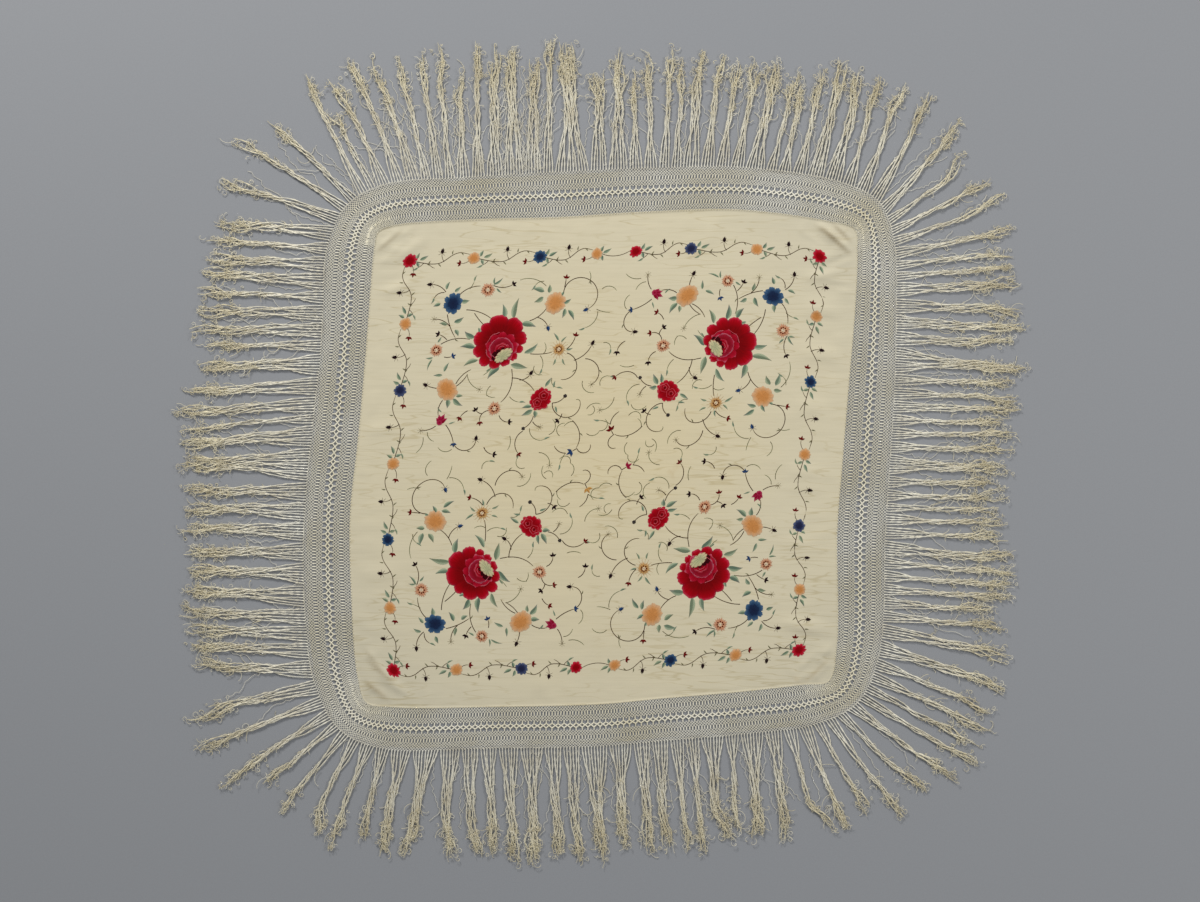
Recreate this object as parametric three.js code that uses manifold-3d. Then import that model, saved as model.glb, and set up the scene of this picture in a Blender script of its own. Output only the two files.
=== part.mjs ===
// Embroidered silk shawl with a knotted net border and a long fringe, laid out flat.
// Millimetres, +Z up. The shawl lies on the plane z = 0, with its middle at the origin,
// seen from above with X to the right and Y up.
// Pieces: the silk panel, the four sides of the net border and the fringe of each side.

import * as THREE from "three";
import { mergeVertices } from "three/addons/utils/BufferGeometryUtils.js";
import Module from "manifold-3d";

const seamGap = 0.3; // between pieces that are sewn or knotted together
const silkThickness = 1.2;
const netThickness = 2;
const headingWidth = 7; // the last row of knots, which the fringe hangs from
const headingThickness = 2.2;
const floorGap = 0.4; // the fringe lies just above the surface

const cornerBays = 4; // short bays at each end of a side, where the edge turns
const cornerBay = 25; // length of a short bay along the net's outer edge
const middleBays = 24;
const gapsPerMiddleBay = 2; // openings cut in the net, in its widest row
const gapLength = 13;
const gapWidth = 9;
const gapRow = 0.47; // place of that row across the net, from the silk outwards

// The laid-out edges, clockwise from the upper left corner, seven stations to a side.
const stationsPerSide = 7;
const edgeStations = table(["silkX", "silkY", "netX", "netY"], [
  [-600, 591, -678, 667],
  [-554, 610, -583, 718],
  [-351, 625, -362, 738],
  [-108, 632, -113, 753],
  [135, 647, 138, 764],
  [378, 652, 400, 764],
  [616, 621, 661, 721],
  [688, 599, 756, 667],
  [695, 537, 794, 562],
  [689, 381, 799, 375],
  [672, 178, 795, 175],
  [655, -30, 782, -32],
  [641, -213, 770, -221],
  [640, -524, 754, -543],
  [618, -621, 697, -675],
  [545, -632, 580, -737],
  [365, -652, 378, -764],
  [175, -668, 184, -779],
  [0, -684, 3, -796],
  [-270, -691, -273, -800],
  [-562, -692, -586, -802],
  [-632, -679, -702, -751],
  [-655, -610, -770, -626],
  [-672, -389, -799, -386],
  [-675, -173, -797, -167],
  [-653, 38, -778, 40],
  [-632, 273, -753, 278],
  [-609, 553, -732, 567],
]);

// The largest creases of the silk, raised as folds with room beneath: middle, direction, length,
// width and height.
const creases = table(["x", "y", "turn", "length", "width", "height"], [
  [626, 576, -40, 112, 36, 5],
  [590, 536, -38, 96, 32, 3.5],
  [604, 470, 2, 140, 40, 4],
  [600, 380, -4, 150, 44, 4],
  [585, 262, -6, 170, 46, 4],
  [575, 118, -6, 150, 46, 4],
  [560, -60, -8, 150, 44, 4],
  [545, -250, -4, 150, 44, 4],
  [540, -470, -10, 150, 42, 4],
  [-520, 540, 34, 160, 38, 4],
  [-545, 440, 20, 120, 36, 3.5],
  [-585, 60, 5, 130, 42, 3.5],
  [-590, -330, 3, 140, 42, 3.5],
  [-570, -620, -38, 130, 36, 4],
  [300, 585, 84, 100, 40, 3.5],
  [-160, -630, 88, 100, 40, 3.5],
]);
// Half of a crease's outline across and along it, as shares of its width, height and length.
const creaseProfile = table(["across", "up"], [
  [-0.5, 0],
  [-0.2, 0.72],
  [0, 1],
  [0.2, 0.72],
  [0.5, 0],
]);
const creaseSections = table(["along", "share"], [
  [-0.28, 0.72],
  [0, 1],
  [0.28, 0.72],
]);
const ridgeDepth = 0.4; // how far a crease's ridge is let into the panel

// The fringe as it lies: how many strands each tuft gathers, how far it reaches from the net,
// how far its tip leans clockwise along the edge, and how far its head hooks that way.
const tuftColumns = ["strands", "reach", "lean", "hook"];
const upperTufts = table(tuftColumns, [
  [4, 320, -34, -10], [4, 348, 28, 0], [3, 250, -22, 0], [5, 318, -60, 0], [5, 346, -64, 0],
  [5, 334, -58, 0], [4, 336, -34, 0], [4, 344, -6, 0], [4, 358, 6, 0], [5, 290, 20, 8],
  [5, 356, 30, 0], [6, 346, 28, 0], [7, 350, 16, 0], [6, 302, 20, 0], [4, 352, 26, 0],
  [12, 342, 0, 0], [6, 288, 6, -10], [7, 322, 4, 0], [5, 262, -14, 0], [5, 306, -18, 0],
  [4, 334, 6, 0], [4, 294, 0, -10], [6, 318, -6, 10], [5, 302, -4, 12], [5, 280, -2, 0],
  [5, 292, 4, 0], [7, 286, 0, 0], [4, 272, 6, 0], [5, 246, -18, 8], [5, 288, -22, 0],
  [6, 310, -30, 0], [6, 298, -36, -12], [5, 296, -62, 12], [5, 310, -72, 18], [5, 314, -70, 0],
]);
const rightTufts = table(tuftColumns, [
  [5, 308, -52, 0], [4, 268, -28, -24], [4, 296, -28, 0], [4, 316, -26, -14], [5, 336, -4, 0],
  [4, 312, 0, 12], [4, 334, 0, 0], [6, 334, -10, 0], [6, 332, -2, 14], [6, 344, 0, 0],
  [6, 308, 0, -16], [10, 344, 12, 0], [5, 326, 0, 0], [5, 326, 4, 8], [5, 336, 0, 0],
  [5, 298, 6, 0], [5, 356, -2, 0], [5, 326, 6, 0], [8, 312, 8, 0], [5, 306, -4, 0],
  [5, 324, -4, -12], [4, 298, -6, 0], [5, 332, -8, 0], [5, 334, -10, 0], [6, 348, 14, -14],
  [5, 350, 6, 0], [5, 364, 0, 0], [5, 350, -8, 0], [5, 294, -8, 0], [5, 338, -6, 0],
  [6, 356, 28, 0], [7, 356, 62, 0], [5, 344, 58, 0], [5, 350, 40, 0], [4, 342, 22, 0],
  [4, 366, 2, 0],
]);
const lowerTufts = table(tuftColumns, [
  [5, 344, -34, 0], [4, 312, -50, -14], [4, 320, -52, 0], [4, 276, -44, 0], [5, 322, -40, 0],
  [5, 284, -12, -46], [6, 294, 20, 0], [8, 288, 26, 0], [5, 282, 22, 0], [8, 276, 16, -30],
  [5, 320, -2, 0], [5, 314, -2, 0], [6, 296, 14, -12], [6, 300, -6, 0], [8, 286, 8, 0],
  [9, 312, -14, 0], [6, 304, -16, 0], [6, 308, -20, 0], [8, 318, -12, 0], [7, 314, -26, 0],
  [6, 288, -32, 12], [6, 292, -26, -14], [7, 280, -4, -18], [9, 286, 18, 10], [7, 286, 14, -12],
  [5, 268, 4, -10], [5, 302, 2, 0], [4, 280, -14, -20], [4, 268, 0, 0],
]);
const leftTufts = table(tuftColumns, [
  [4, 250, 6, 0], [5, 344, -10, -14], [5, 354, -2, 0], [6, 348, -8, -14], [7, 316, 40, 8],
  [6, 322, 34, 0], [6, 326, 22, 0], [6, 338, 14, 8], [8, 318, 10, 0], [8, 308, 0, 0],
  [7, 330, -16, 0], [7, 324, 2, 0], [7, 326, 0, -8], [7, 330, -12, 0], [12, 350, -4, 0],
  [8, 342, -26, 0], [4, 360, -38, 0], [6, 382, -38, 0], [7, 352, -28, 8], [8, 322, -18, 0],
  [5, 320, -14, 0], [6, 354, -18, 0], [6, 336, -6, 0], [5, 338, 6, 0], [6, 344, 18, 0],
  [6, 314, 4, 0], [5, 322, -4, 0], [6, 306, -44, 0], [5, 334, -56, 12], [4, 344, -44, 0],
]);

// One lock of the fringe from root to tip. Its width is a share of the room that its strands
// take up at the root, and a fixed width once they have gathered.
const lockSections = table(["along", "rootShare", "width", "height"], [
  [0, 0.62, 0, 2.6],
  [0.3, 0.24, 2, 4],
  [0.62, 0, 11.5, 5.4],
  [0.9, 0, 15, 7],
]);
const tipHeight = 2; // of the point that a lock ends in, above the surface
const gatheredAt = 0.6; // share of the length by which the strands of a tuft have drawn together
const lockSpacing = 16; // between the locks of a tuft, once they have drawn together
const strandsPerLock = 5; // a tuft of more strands than this is two locks
const rootDepth = 2; // how far a lock is sunk into the heading
const evenLean = 0.6; // share of a tuft's lean that is even; the rest grows towards its tip
const hookFrom = 0.7; // share of the length at which a tuft's head begins to hook
const measuringSteps = 280; // along one side of the net's edge

const silkColour = 0xd9cfb2;
const netColour = 0xd2c8a8;
const fringeColour = 0xd8ceae;

const sides = [
  { name: "upper", tufts: upperTufts },
  { name: "right", tufts: rightTufts },
  { name: "lower", tufts: lowerTufts },
  { name: "left", tufts: leftTufts },
];

function table(columns, rows) {
  return rows.map((row) => Object.fromEntries(columns.map((name, i) => [name, row[i]])));
}

// Smooth step from 0 at a to 1 at b.
function ease(a, b, x) {
  return THREE.MathUtils.smoothstep(x, a, b);
}

function closedCurve(points) {
  return new THREE.CatmullRomCurve3(points, true, "centripetal");
}

const silkEdge = closedCurve(edgeStations.map((s) => new THREE.Vector3(s.silkX, s.silkY, 0)));
const netEdge = closedCurve(edgeStations.map((s) => new THREE.Vector3(s.netX, s.netY, 0)));

// Lengths along the net's outer edge of one side, from corner to corner.
function measureSide(side) {
  const marks = [{ at: side / sides.length, length: 0 }];
  let last = netEdge.getPoint(marks[0].at);
  for (let i = 1; i <= measuringSteps; i++) {
    const at = (side + i / measuringSteps) / sides.length;
    const point = netEdge.getPoint(at % 1);
    marks.push({ at, length: marks[i - 1].length + point.distanceTo(last) });
    last = point;
  }
  return marks;
}

const sideMarks = sides.map((_, side) => measureSide(side));

function sideLength(side) {
  return sideMarks[side].at(-1).length;
}

// Place on the closed edges that lies this far along a side.
function edgePlace(side, length) {
  const marks = sideMarks[side];
  const next = Math.max(1, marks.findIndex((m) => m.length >= length - 1e-6));
  const [a, b] = [marks[next - 1], marks[next]];
  return a.at + ((length - a.length) / (b.length - a.length)) * (b.at - a.at);
}

// The line across the border at a length along a side: where it starts on the silk's edge,
// its direction outwards, its width, and the direction clockwise along the edge.
function crossing(side, length) {
  const place = edgePlace(side, length) % 1;
  const start = silkEdge.getPoint(place);
  const end = netEdge.getPoint(place);
  const out = end.clone().sub(start).normalize();
  const along = new THREE.Vector3(out.y, -out.x, 0);
  return { start, out, along, width: end.distanceTo(start) };
}

// Ends of the bays of a side, as lengths along it. All pieces share them, so their edges run
// side by side.
function bayEnds(side) {
  const whole = sideLength(side);
  const middle = (whole - 2 * cornerBays * cornerBay) / middleBays;
  const lengths = [0];
  const bays = cornerBays * 2 + middleBays;
  for (let i = 0; i < bays; i++) {
    const short = i < cornerBays || i >= bays - cornerBays;
    lengths.push(lengths[i] + (short ? cornerBay : middle));
  }
  lengths[bays] = whole;
  return lengths;
}

// A point of the border: this far outwards from the silk's edge. At the ends of a side it is
// drawn back along the edge, so that two sides meet with a seam between them.
function borderPoint(side, length, distance) {
  const { start, out, along } = crossing(side, length);
  const point = start.clone().addScaledVector(out, distance);
  const whole = sideLength(side);
  if (length <= 0) point.addScaledVector(along, seamGap / 2);
  if (length >= whole) point.addScaledVector(along, -seamGap / 2);
  return point;
}

function indexedGeometry(points, triangles) {
  const geometry = new THREE.BufferGeometry().setFromPoints(points);
  geometry.setIndex(triangles.flat());
  geometry.computeVertexNormals();
  return geometry;
}

function namedMesh(name, geometry, colour, roughness) {
  const material = new THREE.MeshStandardMaterial({ color: colour, roughness, metalness: 0 });
  const mesh = new THREE.Mesh(geometry, material);
  mesh.name = name;
  return mesh;
}

// A long ridge over a crease, closed underneath. It is let into the panel by `sunk`, and made
// smaller by `inset` for the room beneath the fold.
function creaseRidge(crease, sunk, inset) {
  const points = [];
  const place = (along, across, z) => points.push(new THREE.Vector3(along, across, z)) - 1;
  const low = silkThickness - inset - sunk;
  const rings = creaseSections.map((section) => {
    const width = crease.width * section.share - 2 * inset;
    const along = section.along * crease.length;
    const ring = creaseProfile.map((corner) => {
      const z = silkThickness - inset + corner.up * crease.height * section.share;
      return place(along, corner.across * width, z);
    });
    ring.push(place(along, width / 2, low), place(along, -width / 2, low));
    return ring;
  });
  const tips = [-1, 1].map((end) => {
    const along = end * (crease.length / 2 - 2 * inset);
    return [place(along, 0, silkThickness - inset), place(along, 0, low)];
  });
  const triangles = [];
  const count = rings[0].length;
  for (let r = 0; r + 1 < rings.length; r++)
    for (let k = 0; k < count; k++) {
      const next = (k + 1) % count;
      const [a, b, c, d] = [rings[r][k], rings[r][next], rings[r + 1][next], rings[r + 1][k]];
      triangles.push([a, c, b], [a, d, c]);
    }
  const [first, last] = [rings[0], rings.at(-1)];
  const [[nearTop, nearLow], [farTop, farLow]] = tips;
  for (let k = 0; k < 4; k++) {
    triangles.push([first[k], first[k + 1], nearTop]);
    triangles.push([last[k + 1], last[k], farTop]);
  }
  triangles.push([first[4], first[5], nearLow], [first[4], nearLow, nearTop]);
  triangles.push([first[6], first[0], nearTop], [first[6], nearTop, nearLow]);
  triangles.push([first[5], first[6], nearLow]);
  triangles.push([last[5], last[4], farTop], [last[5], farTop, farLow]);
  triangles.push([last[0], last[6], farLow], [last[0], farLow, farTop]);
  triangles.push([last[6], last[5], farLow]);
  return indexedGeometry(points, triangles)
    .rotateZ(THREE.MathUtils.degToRad(crease.turn))
    .translate(crease.x, crease.y, 0);
}

// The silk panel: a thin sheet between its four edges, flat underneath but for its folds.
function silkPanel() {
  const rim = sides.flatMap((_, side) =>
    bayEnds(side).slice(0, -1).map((length) => crossing(side, length).start),
  );
  const shape = new THREE.Shape(rim.map((p) => new THREE.Vector2(p.x, p.y)));
  let solid = solidOf(new THREE.ExtrudeGeometry(shape, { depth: silkThickness, bevelEnabled: false }));
  for (const crease of creases) solid = solid.add(solidOf(creaseRidge(crease, ridgeDepth, 0)));
  for (const crease of creases)
    solid = solid.subtract(solidOf(creaseRidge(crease, silkThickness, silkThickness)));
  return geometryOf(solid);
}

// A flat strip of the border between two distances from the silk's edge, which may vary with
// the border's width, with openings cut through it.
function borderStrip(side, inner, outer, openings, thickness) {
  const lengths = bayEnds(side);
  const rim = (distance) =>
    lengths.map((length) => borderPoint(side, length, distance(crossing(side, length).width)));
  const flat = (points) => points.map((p) => new THREE.Vector2(p.x, p.y));
  const shape = new THREE.Shape(flat([...rim(inner), ...rim(outer).reverse()]));
  shape.holes = openings.map((corners) => new THREE.Path(flat(corners)));
  return new THREE.ExtrudeGeometry(shape, { depth: thickness, bevelEnabled: false });
}

// The lozenge openings in the widest row of the net.
function netOpenings(side) {
  const lengths = bayEnds(side);
  const openings = [];
  for (let i = 1; i < lengths.length; i++) {
    const bay = lengths[i] - lengths[i - 1];
    const count = bay > cornerBay + 1 ? gapsPerMiddleBay : 1;
    for (let k = 0; k < count; k++) {
      const middle = lengths[i - 1] + (bay * (k + 0.5)) / count;
      const { width } = crossing(side, middle);
      const row = width * gapRow;
      openings.push([
        borderPoint(side, middle - gapLength / 2, row),
        borderPoint(side, middle, row - gapWidth / 2),
        borderPoint(side, middle + gapLength / 2, row),
        borderPoint(side, middle, row + gapWidth / 2),
      ]);
    }
  }
  return openings;
}

function netSide(side) {
  const inner = () => seamGap;
  const outer = (width) => width - headingWidth - seamGap;
  return borderStrip(side, inner, outer, netOpenings(side), netThickness);
}

// The locks of one tuft: where each is rooted along the side, and how it is offset once the
// strands have drawn together.
function locksOf(tuft) {
  const count = tuft.strands > 2 * strandsPerLock ? 3 : tuft.strands > strandsPerLock ? 2 : 1;
  const room = tuft.strands / count;
  return Array.from({ length: count }, (_, k) => ({
    root: (k + 0.5 - count / 2) * room,
    gathered: (k + 0.5 - count / 2) * lockSpacing,
    room,
  }));
}

// Middle of a lock at a share of its length, seen from above.
function lockMiddle(tuft, lock, root, pitch, share) {
  const drawn = ease(0, gatheredAt, share);
  const aside =
    lock.root * pitch * (1 - drawn) +
    lock.gathered * drawn +
    tuft.lean * share * (evenLean + (1 - evenLean) * share) +
    tuft.hook * ease(hookFrom, 1, share);
  return root.start
    .clone()
    .addScaledVector(root.out, root.width - rootDepth + share * (tuft.reach + rootDepth))
    .addScaledVector(root.along, aside);
}

// A four-sided lock that lies just above the surface, from inside the heading to its tip.
function lockGeometry(tuft, lock, root, pitch) {
  const points = lockSections.flatMap((section) => {
    const middle = lockMiddle(tuft, lock, root, pitch, section.along);
    const width = section.rootShare * lock.room * pitch + section.width;
    middle.z = floorGap + section.height / 2;
    const up = new THREE.Vector3(0, 0, section.height / 2);
    return [
      middle.clone().sub(up),
      middle.clone().addScaledVector(root.along, width / 2),
      middle.clone().add(up),
      middle.clone().addScaledVector(root.along, -width / 2),
    ];
  });
  const tip = points.push(lockMiddle(tuft, lock, root, pitch, 1).setZ(tipHeight)) - 1;
  const last = tip - 4;
  const triangles = [[0, 1, 2], [0, 2, 3]];
  for (let ring = 0; ring < last; ring += 4)
    for (let k = 0; k < 4; k++) {
      const [a, b] = [ring + k, ring + ((k + 1) % 4)];
      triangles.push([a, a + 4, b + 4], [a, b + 4, b]);
    }
  for (let k = 0; k < 4; k++) triangles.push([last + k, tip, last + ((k + 1) % 4)]);
  return indexedGeometry(points, triangles);
}

const wasm = await Module();
wasm.setup();

function solidOf(geometry) {
  const bare = geometry.clone();
  bare.deleteAttribute("normal");
  bare.deleteAttribute("uv");
  const merged = mergeVertices(bare, 1e-3);
  return new wasm.Manifold(
    new wasm.Mesh({
      numProp: 3,
      vertProperties: merged.attributes.position.array,
      triVerts: new Uint32Array(merged.index.array),
    }),
  );
}

function geometryOf(solid) {
  const mesh = solid.getMesh();
  const geometry = new THREE.BufferGeometry();
  geometry.setAttribute("position", new THREE.BufferAttribute(mesh.vertProperties, mesh.numProp));
  geometry.setIndex(new THREE.BufferAttribute(mesh.triVerts, 1));
  geometry.computeVertexNormals();
  return geometry;
}

// The fringe of one side: its locks, fused at their roots into the heading.
function fringeSide(side) {
  const { tufts } = sides[side];
  const heading = borderStrip(
    side,
    (width) => width - headingWidth,
    (width) => width,
    [],
    headingThickness,
  );
  const strands = tufts.reduce((sum, tuft) => sum + tuft.strands, 0);
  const pitch = sideLength(side) / strands;
  let solid = solidOf(heading);
  let passed = 0;
  for (const tuft of tufts) {
    const root = crossing(side, (passed + tuft.strands / 2) * pitch);
    for (const lock of locksOf(tuft)) solid = solid.add(solidOf(lockGeometry(tuft, lock, root, pitch)));
    passed += tuft.strands;
  }
  return geometryOf(solid);
}

const shawl = new THREE.Group();
shawl.add(namedMesh("silk_panel", silkPanel(), silkColour, 0.55));
sides.forEach(({ name }, side) => {
  shawl.add(namedMesh(`net_${name}`, netSide(side), netColour, 0.8));
  shawl.add(namedMesh(`fringe_${name}`, fringeSide(side), fringeColour, 0.7));
});

// The origin lies under the middle of the whole outline.
const middle = new THREE.Box3().setFromObject(shawl).getCenter(new THREE.Vector3());
for (const mesh of shawl.children) mesh.geometry.translate(-middle.x, -middle.y, 0);

export default shawl;
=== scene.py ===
import math
from collections import namedtuple

import bpy
import numpy as np
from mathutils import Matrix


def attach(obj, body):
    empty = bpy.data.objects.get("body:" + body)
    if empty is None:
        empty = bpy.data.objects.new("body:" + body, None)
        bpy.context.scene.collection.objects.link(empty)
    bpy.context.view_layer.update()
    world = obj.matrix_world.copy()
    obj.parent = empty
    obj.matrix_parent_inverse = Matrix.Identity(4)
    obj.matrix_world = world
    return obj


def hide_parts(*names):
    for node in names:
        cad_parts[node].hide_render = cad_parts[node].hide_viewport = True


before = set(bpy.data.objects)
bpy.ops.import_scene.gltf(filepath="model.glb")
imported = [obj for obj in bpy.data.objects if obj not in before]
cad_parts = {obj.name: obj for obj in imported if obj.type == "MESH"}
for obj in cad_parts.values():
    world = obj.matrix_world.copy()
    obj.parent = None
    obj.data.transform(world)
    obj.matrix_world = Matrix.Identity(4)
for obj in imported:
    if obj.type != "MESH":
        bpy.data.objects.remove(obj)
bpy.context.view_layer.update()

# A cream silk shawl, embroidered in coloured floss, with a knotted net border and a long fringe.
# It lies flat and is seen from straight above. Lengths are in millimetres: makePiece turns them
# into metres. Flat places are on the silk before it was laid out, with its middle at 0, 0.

rng = np.random.default_rng(11)
fullTurn = 6.28  # radians, for where a random turn starts
sideNames = ["upper", "right", "lower", "left"]  # clockwise, as the edges are


def rows(columns, data, defaults=()):  # a table whose rows have named columns
    row = namedtuple("row", columns, defaults=defaults)  # defaults: of the last columns
    return [row(*values) for values in data]


def column(table, name):
    return np.array([getattr(row, name) for row in table], float)


def ease(low, high, x):  # 0 below low, 1 above high, smooth between
    t = np.clip((x - low) / (high - low), 0, 1)
    return t * t * (3 - 2 * t)


def toward(degrees):  # a unit step in this direction, 0 along x and 90 along y
    return np.array([math.cos(math.radians(degrees)), math.sin(math.radians(degrees))])


def turned(places, degrees):
    c, s = toward(degrees)
    return places @ np.array([[c, s], [-s, c]])


def linear(code):  # sRGB hex to linear colour
    srgb = np.array([int(code[i:i + 2], 16) / 255 for i in (1, 3, 5)])
    return np.where(srgb <= 0.04045, srgb / 12.92, ((srgb + 0.055) / 1.055) ** 2.4)


def rgba(code):
    return (*linear(code), 1)


# Camera and light
view = {
    "frameWidth": 3240,  # what the picture spans at the shawl
    "lens": 85,
    "sensor": 36,
    "middle": (4.2, 6.6),  # of the picture, from the middle of the shawl's outline
}


def setUpView():
    distance = view["frameWidth"] * view["lens"] / view["sensor"] / 1000
    data = bpy.data.cameras.new("overhead")
    data.lens = view["lens"]
    data.sensor_width = view["sensor"]
    data.clip_end = 60
    camera = bpy.data.objects.new("overhead", data)
    camera.location = (view["middle"][0] / 1000, view["middle"][1] / 1000, distance)
    bpy.context.scene.collection.objects.link(camera)
    bpy.context.scene.camera = camera
    bpy.context.scene.view_settings.view_transform = "Standard"


lights = rows("name x y z size power", [  # metres and watts
    ("softboxLeft", -2.6, 5.8, 3.9, 2.0, 352),
    ("softboxRight", 5.6, 0.6, 4.8, 3.0, 160),
])
studio = {"walls": "#E9EEF4", "wallLight": 0.36}  # what the walls throw back from all round


def setUpLights():
    for light in lights:
        data = bpy.data.lights.new(light.name, "AREA")
        data.shape = "DISK"
        data.size = light.size
        data.energy = light.power
        lamp = bpy.data.objects.new(light.name, data)
        lamp.location = (light.x, light.y, light.z)
        lamp.rotation_euler = (-lamp.location).to_track_quat("-Z", "Y").to_euler()
        bpy.context.scene.collection.objects.link(lamp)
    world = bpy.data.worlds.new("studio")
    world.use_nodes = True
    background = world.node_tree.nodes["Background"]
    background.inputs["Color"].default_value = rgba(studio["walls"])
    background.inputs["Strength"].default_value = studio["wallLight"]
    bpy.context.scene.world = world


# Materials
def addNode(tree, kind, values=None, out=0, stops=(), **settings):
    node = tree.nodes.new("ShaderNode" + kind)
    for key, value in settings.items():
        setattr(node, key, value)
    for key, value in (values or {}).items():  # a number, a colour or another node's output
        if isinstance(value, bpy.types.NodeSocket):
            tree.links.new(value, node.inputs[key])
        else:
            node.inputs[key].default_value = value
    if stops:  # of a colour ramp: place and hex colour
        elements = node.color_ramp.elements
        while len(elements) < len(stops):
            elements.new(0.5)
        for element, (place, code) in zip(elements, stops):
            element.position = place
            element.color = rgba(code)
    return node.outputs[out]


def startMaterial(name, **inputs):
    material = bpy.data.materials.new(name)
    material.use_nodes = True
    tree = material.node_tree
    shader = tree.nodes["Principled BSDF"]
    for key, value in inputs.items():
        shader.inputs[key.replace("_", " ")].default_value = value
    place = addNode(tree, "TexCoord", out="Object")  # metres
    return material, tree, shader.inputs, place


mixed = {"out": 2, "data_type": "RGBA"}  # for a Mix node: 0 is its factor, 6 and 7 its two colours
multiplied = {**mixed, "blend_type": "MULTIPLY"}
eased = {"interpolation_type": "SMOOTHSTEP"}  # for a MapRange node
white = "#FFFFFF"

# Plain-woven silk: uneven weft threads give faint lines across it, and years of folding and light
# have turned its middle yellower than its margins, with a few faint stains.
silkLook = {
    "cream": "#E0D4B4",
    "margin": "#D9CFB3",
    "marginFrom": 0.62,  # metres from the middle, where the margin's colour begins and is full
    "marginTo": 0.9,
    "yellowed": "#E3D3AB",
    "yellowFrom": 0.3,  # the same for where the yellow begins to fade and is gone
    "yellowTo": 0.95,
    "yellowStray": 0.55,  # how far a cloudy noise moves that fade
    "stain": "#BFA068",
    "stainFrom": 0.64,  # where its noise begins to stain and does so fully
    "stainTo": 0.78,
    "stainDepth": 0.3,
    "foldShadeAndSoil": "#A8936A",  # the colour is multiplied by this along the corner folds: painted fold shade, with some soil
    "creaseShade": "#ECE8DC",  # and by this along a pressed crease: painted shade
    "creaseSpacing": 20,  # mm between them
    "creasedFrom": 0.38,  # the creases lie in patches: where their noise lets them show
    "creasedTo": 0.62,
    "weftSlub": 2.6,  # mm between the heavier weft threads
    "thread": 0.9,  # mm, drawn coarser than the real 0.25 so that it shows from close by
}
silkRelief = rows("height strength distance", [  # bumps from the widest to the finest; metres
    ("ripple", 0.6, 0.002),
    ("slubs", 0.1, 0.0002),
    ("pressed", 0.3, 0.001),
    ("weave", 0.25, 0.0002),
])
# The silk's noises, drawn out along x or y by their stretch.
silkClouds = rows("name scale detail stretch roughness", [
    ("yellow", 2.6, 4),
    ("blot", 7, 5, (1, 0.8, 1), 0.62),
    ("slubs", 1, 3, (2.4, 1000 / silkLook["weftSlub"] / 2, 1)),
    ("strokes", 1, 1.5, (6, 1000 / silkLook["creaseSpacing"], 1)),
    ("patches", 4.5, 2),  # where the pressed creases, with their painted shade, lie
    ("ripple", 1, 2, (9, 26, 1)),
    ("weave", 1000 / silkLook["thread"] / 2, 1),
], ((1, 1, 1), 0.5))


def silkMaterial():
    material, tree, inputs, place = startMaterial(
        "plain woven silk", Roughness=0.58, Sheen_Weight=0.25, Sheen_Roughness=0.35,
        Specular_IOR_Level=0.35, IOR=1.54)
    clouds = {}
    for each in silkClouds:
        drawn = addNode(tree, "VectorMath", {0: place, 1: each.stretch}, operation="MULTIPLY")
        clouds[each.name] = addNode(tree, "TexNoise", {
            "Vector": drawn, "Scale": each.scale, "Detail": each.detail, "Roughness": each.roughness})

    middle = addNode(tree, "VectorMath", {0: place}, "Value", operation="LENGTH")
    stray = addNode(tree, "Math", {0: clouds["yellow"], 1: silkLook["yellowStray"]}, operation="MULTIPLY")
    wide = addNode(tree, "Math", {0: middle, 1: stray}, operation="ADD")
    yellow = addNode(tree, "MapRange", {
        "Value": wide, "From Min": silkLook["yellowFrom"], "From Max": silkLook["yellowTo"],
        "To Min": 1.0, "To Max": 0.0}, **eased)
    outer = addNode(tree, "MapRange", {"Value": middle, "From Min": silkLook["marginFrom"],
                                       "From Max": silkLook["marginTo"]}, **eased)
    spots = addNode(tree, "MapRange", {
        "Value": clouds["blot"], "From Min": silkLook["stainFrom"], "From Max": silkLook["stainTo"],
        "To Max": silkLook["stainDepth"]}, **eased)
    colour = rgba(silkLook["cream"])
    for share, tint in ((yellow, "yellowed"), (outer, "margin"), (spots, "stain")):
        colour = addNode(tree, "Mix", {0: share, 6: colour, 7: rgba(silkLook[tint])}, **mixed)

    lines = addNode(tree, "ValToRGB", {0: clouds["slubs"]},
                    stops=[(0.28, "#F9F9F9"), (0.5, "#FCFCFC"), (0.72, white)])
    # painted shade: narrow darker lines along the pressed creases, in patches; they also give the crease
    # bump
    pressed = addNode(tree, "ValToRGB", {0: clouds["strokes"]},
                      stops=[(0.475, white), (0.5, silkLook["creaseShade"]), (0.525, white)])
    where = addNode(tree, "MapRange", {"Value": clouds["patches"], "From Min": silkLook["creasedFrom"],
                                       "From Max": silkLook["creasedTo"]}, **eased)
    pressed = addNode(tree, "Mix", {0: where, 6: rgba(white), 7: pressed}, **mixed)
    # painted shade along the corner folds, with some soil, darkens the colour here
    foldShadeAndSoilShare = addNode(tree, "Attribute", out="Fac", attribute_name="foldShadeAndSoilShare")
    foldShadeAndDirt = addNode(tree, "Mix", {0: foldShadeAndSoilShare, 6: rgba(white), 7: rgba(silkLook["foldShadeAndSoil"])}, **mixed)
    for shade in (lines, pressed, foldShadeAndDirt):
        colour = addNode(tree, "Mix", {0: 1, 6: colour, 7: shade}, **multiplied)
    tree.links.new(colour, inputs["Base Color"])

    heights = {**clouds, "pressed": pressed}
    below = {}
    for each in silkRelief:
        below = {"Normal": addNode(tree, "Bump", {
            "Strength": each.strength, "Distance": each.distance, "Height": heights[each.height], **below})}
    tree.links.new(below["Normal"], inputs["Normal"])
    return material


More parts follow.
